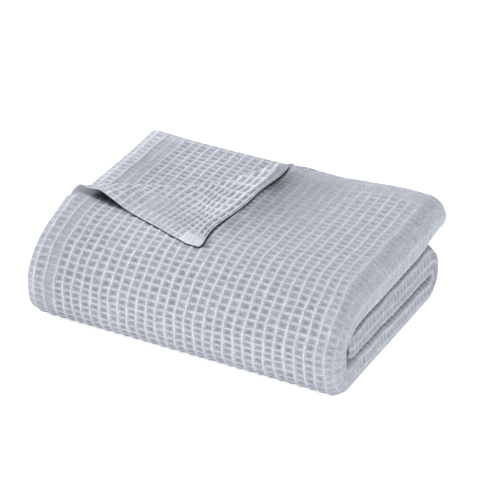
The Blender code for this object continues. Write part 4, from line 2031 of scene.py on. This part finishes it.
@dataclass
class Studio:
    """Pale floor, soft lights and the camera."""

    frame_pixels: float = 500.0
    focal_pixels: float = 2542.649
    sensor: float = 36.0
    far: float = 50.0
    camera_place: Triple = (0.99827846, -1.89273744, 1.32402131)
    looking: Triple = (-0.40074449, 0.7576084, -0.51520227)
    shift: Pair = (0.02614, 0.04515)
    lamps: tuple[tuple, ...] = (
        ("key", (-1.6, -0.1, 1.5), 0.8, 34.0),
        ("fill", (1.3, -2.0, 0.9), 1.8, 17.0),
    )
    floor_reach: float = 12.0
    floor_colour: Triple = (0.94, 0.94, 0.945)
    floor_roughness: float = 0.95
    floor_specular: float = 0.1
    floor_glow: float = 0.60
    sky_colour: Triple = (0.99, 0.99, 1.0)
    sky_strength: float = 0.71

    def build(self) -> None:
        """Makes the floor, the lights, the surroundings and the camera."""
        self.floor()
        for name, place, size, power in self.lamps:
            self.lamp(name, place, size, power)
        self.surroundings()
        self.camera()

    def floor(self) -> None:
        """Makes the pale floor."""
        mesh = bpy.data.meshes.new("floor")
        reach = self.floor_reach
        corners = [(-reach, -reach, 0), (reach, -reach, 0), (reach, reach, 0), (-reach, reach, 0)]
        mesh.from_pydata(corners, [], [(0, 1, 2, 3)])
        paint, draw, shader = new_material("floor_paint")
        finish = {
            "Base Color": (*self.floor_colour, 1.0),
            "Roughness": self.floor_roughness,
            "Specular IOR Level": self.floor_specular,
            "Emission Color": (1.0, 1.0, 1.0, 1.0),
            "Emission Strength": self.floor_glow,
        }
        draw.give(shader, finish)
        mesh.materials.append(paint)
        add_object("floor", mesh)

    def lamp(self, name: str, place: Triple, size: float, power: float) -> None:
        """Makes a soft square lamp that faces the blanket.

        Args:
            name: Name of the lamp.
            place: Where it hangs.
            size: Length of its side.
            power: Power in watts.
        """
        light = bpy.data.lights.new(name, "AREA")
        light.size, light.energy = size, power
        self.aim(add_object(name, light), place, -Vector(place))

    @staticmethod
    def aim(item: bpy.types.Object, place: Triple, looking: Vector) -> None:
        """Puts a lamp or a camera in its place and turns it to look along a direction."""
        item.location, item.rotation_mode = place, "QUATERNION"
        item.rotation_quaternion = looking.to_track_quat("-Z", "Y")

    def surroundings(self) -> None:
        """Makes the white surroundings and plain colours."""
        world = bpy.data.worlds.new("white_room")
        world.use_nodes = True
        sky = {"Color": (*self.sky_colour, 1.0), "Strength": self.sky_strength}
        Sketch(world.node_tree).give(world.node_tree.nodes["Background"], sky)
        bpy.context.scene.world = world
        bpy.context.scene.view_settings.view_transform = "Standard"

    def camera(self) -> None:
        """Makes the camera."""
        data = bpy.data.cameras.new("camera")
        data.sensor_width = self.sensor
        data.lens = self.focal_pixels / self.frame_pixels * self.sensor
        data.shift_x, data.shift_y = self.shift
        data.clip_end = self.far
        camera = add_object("camera", data)
        self.aim(camera, self.camera_place, Vector(self.looking))
        bpy.context.scene.camera = camera


def main() -> None:
    """Loads the frame, makes each piece in order and keeps the two boxes."""
    logging.basicConfig(level=logging.INFO, format="%(name)s: %(message)s")
    for item in list(bpy.data.objects):
        bpy.data.objects.remove(item)
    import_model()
    for piece in FoldedBlanket().build():
        triangles = sum(len(face.vertices) - 2 for face in piece.data.polygons)
        size = [round(length, 4) for length in piece.dimensions]
        LOG.info("%s: %d triangles, size %s", piece.name, triangles, size)
    Studio().build()
    LOG.info("floor, lamps and camera are in place")


if __name__ == "__main__":
    main()
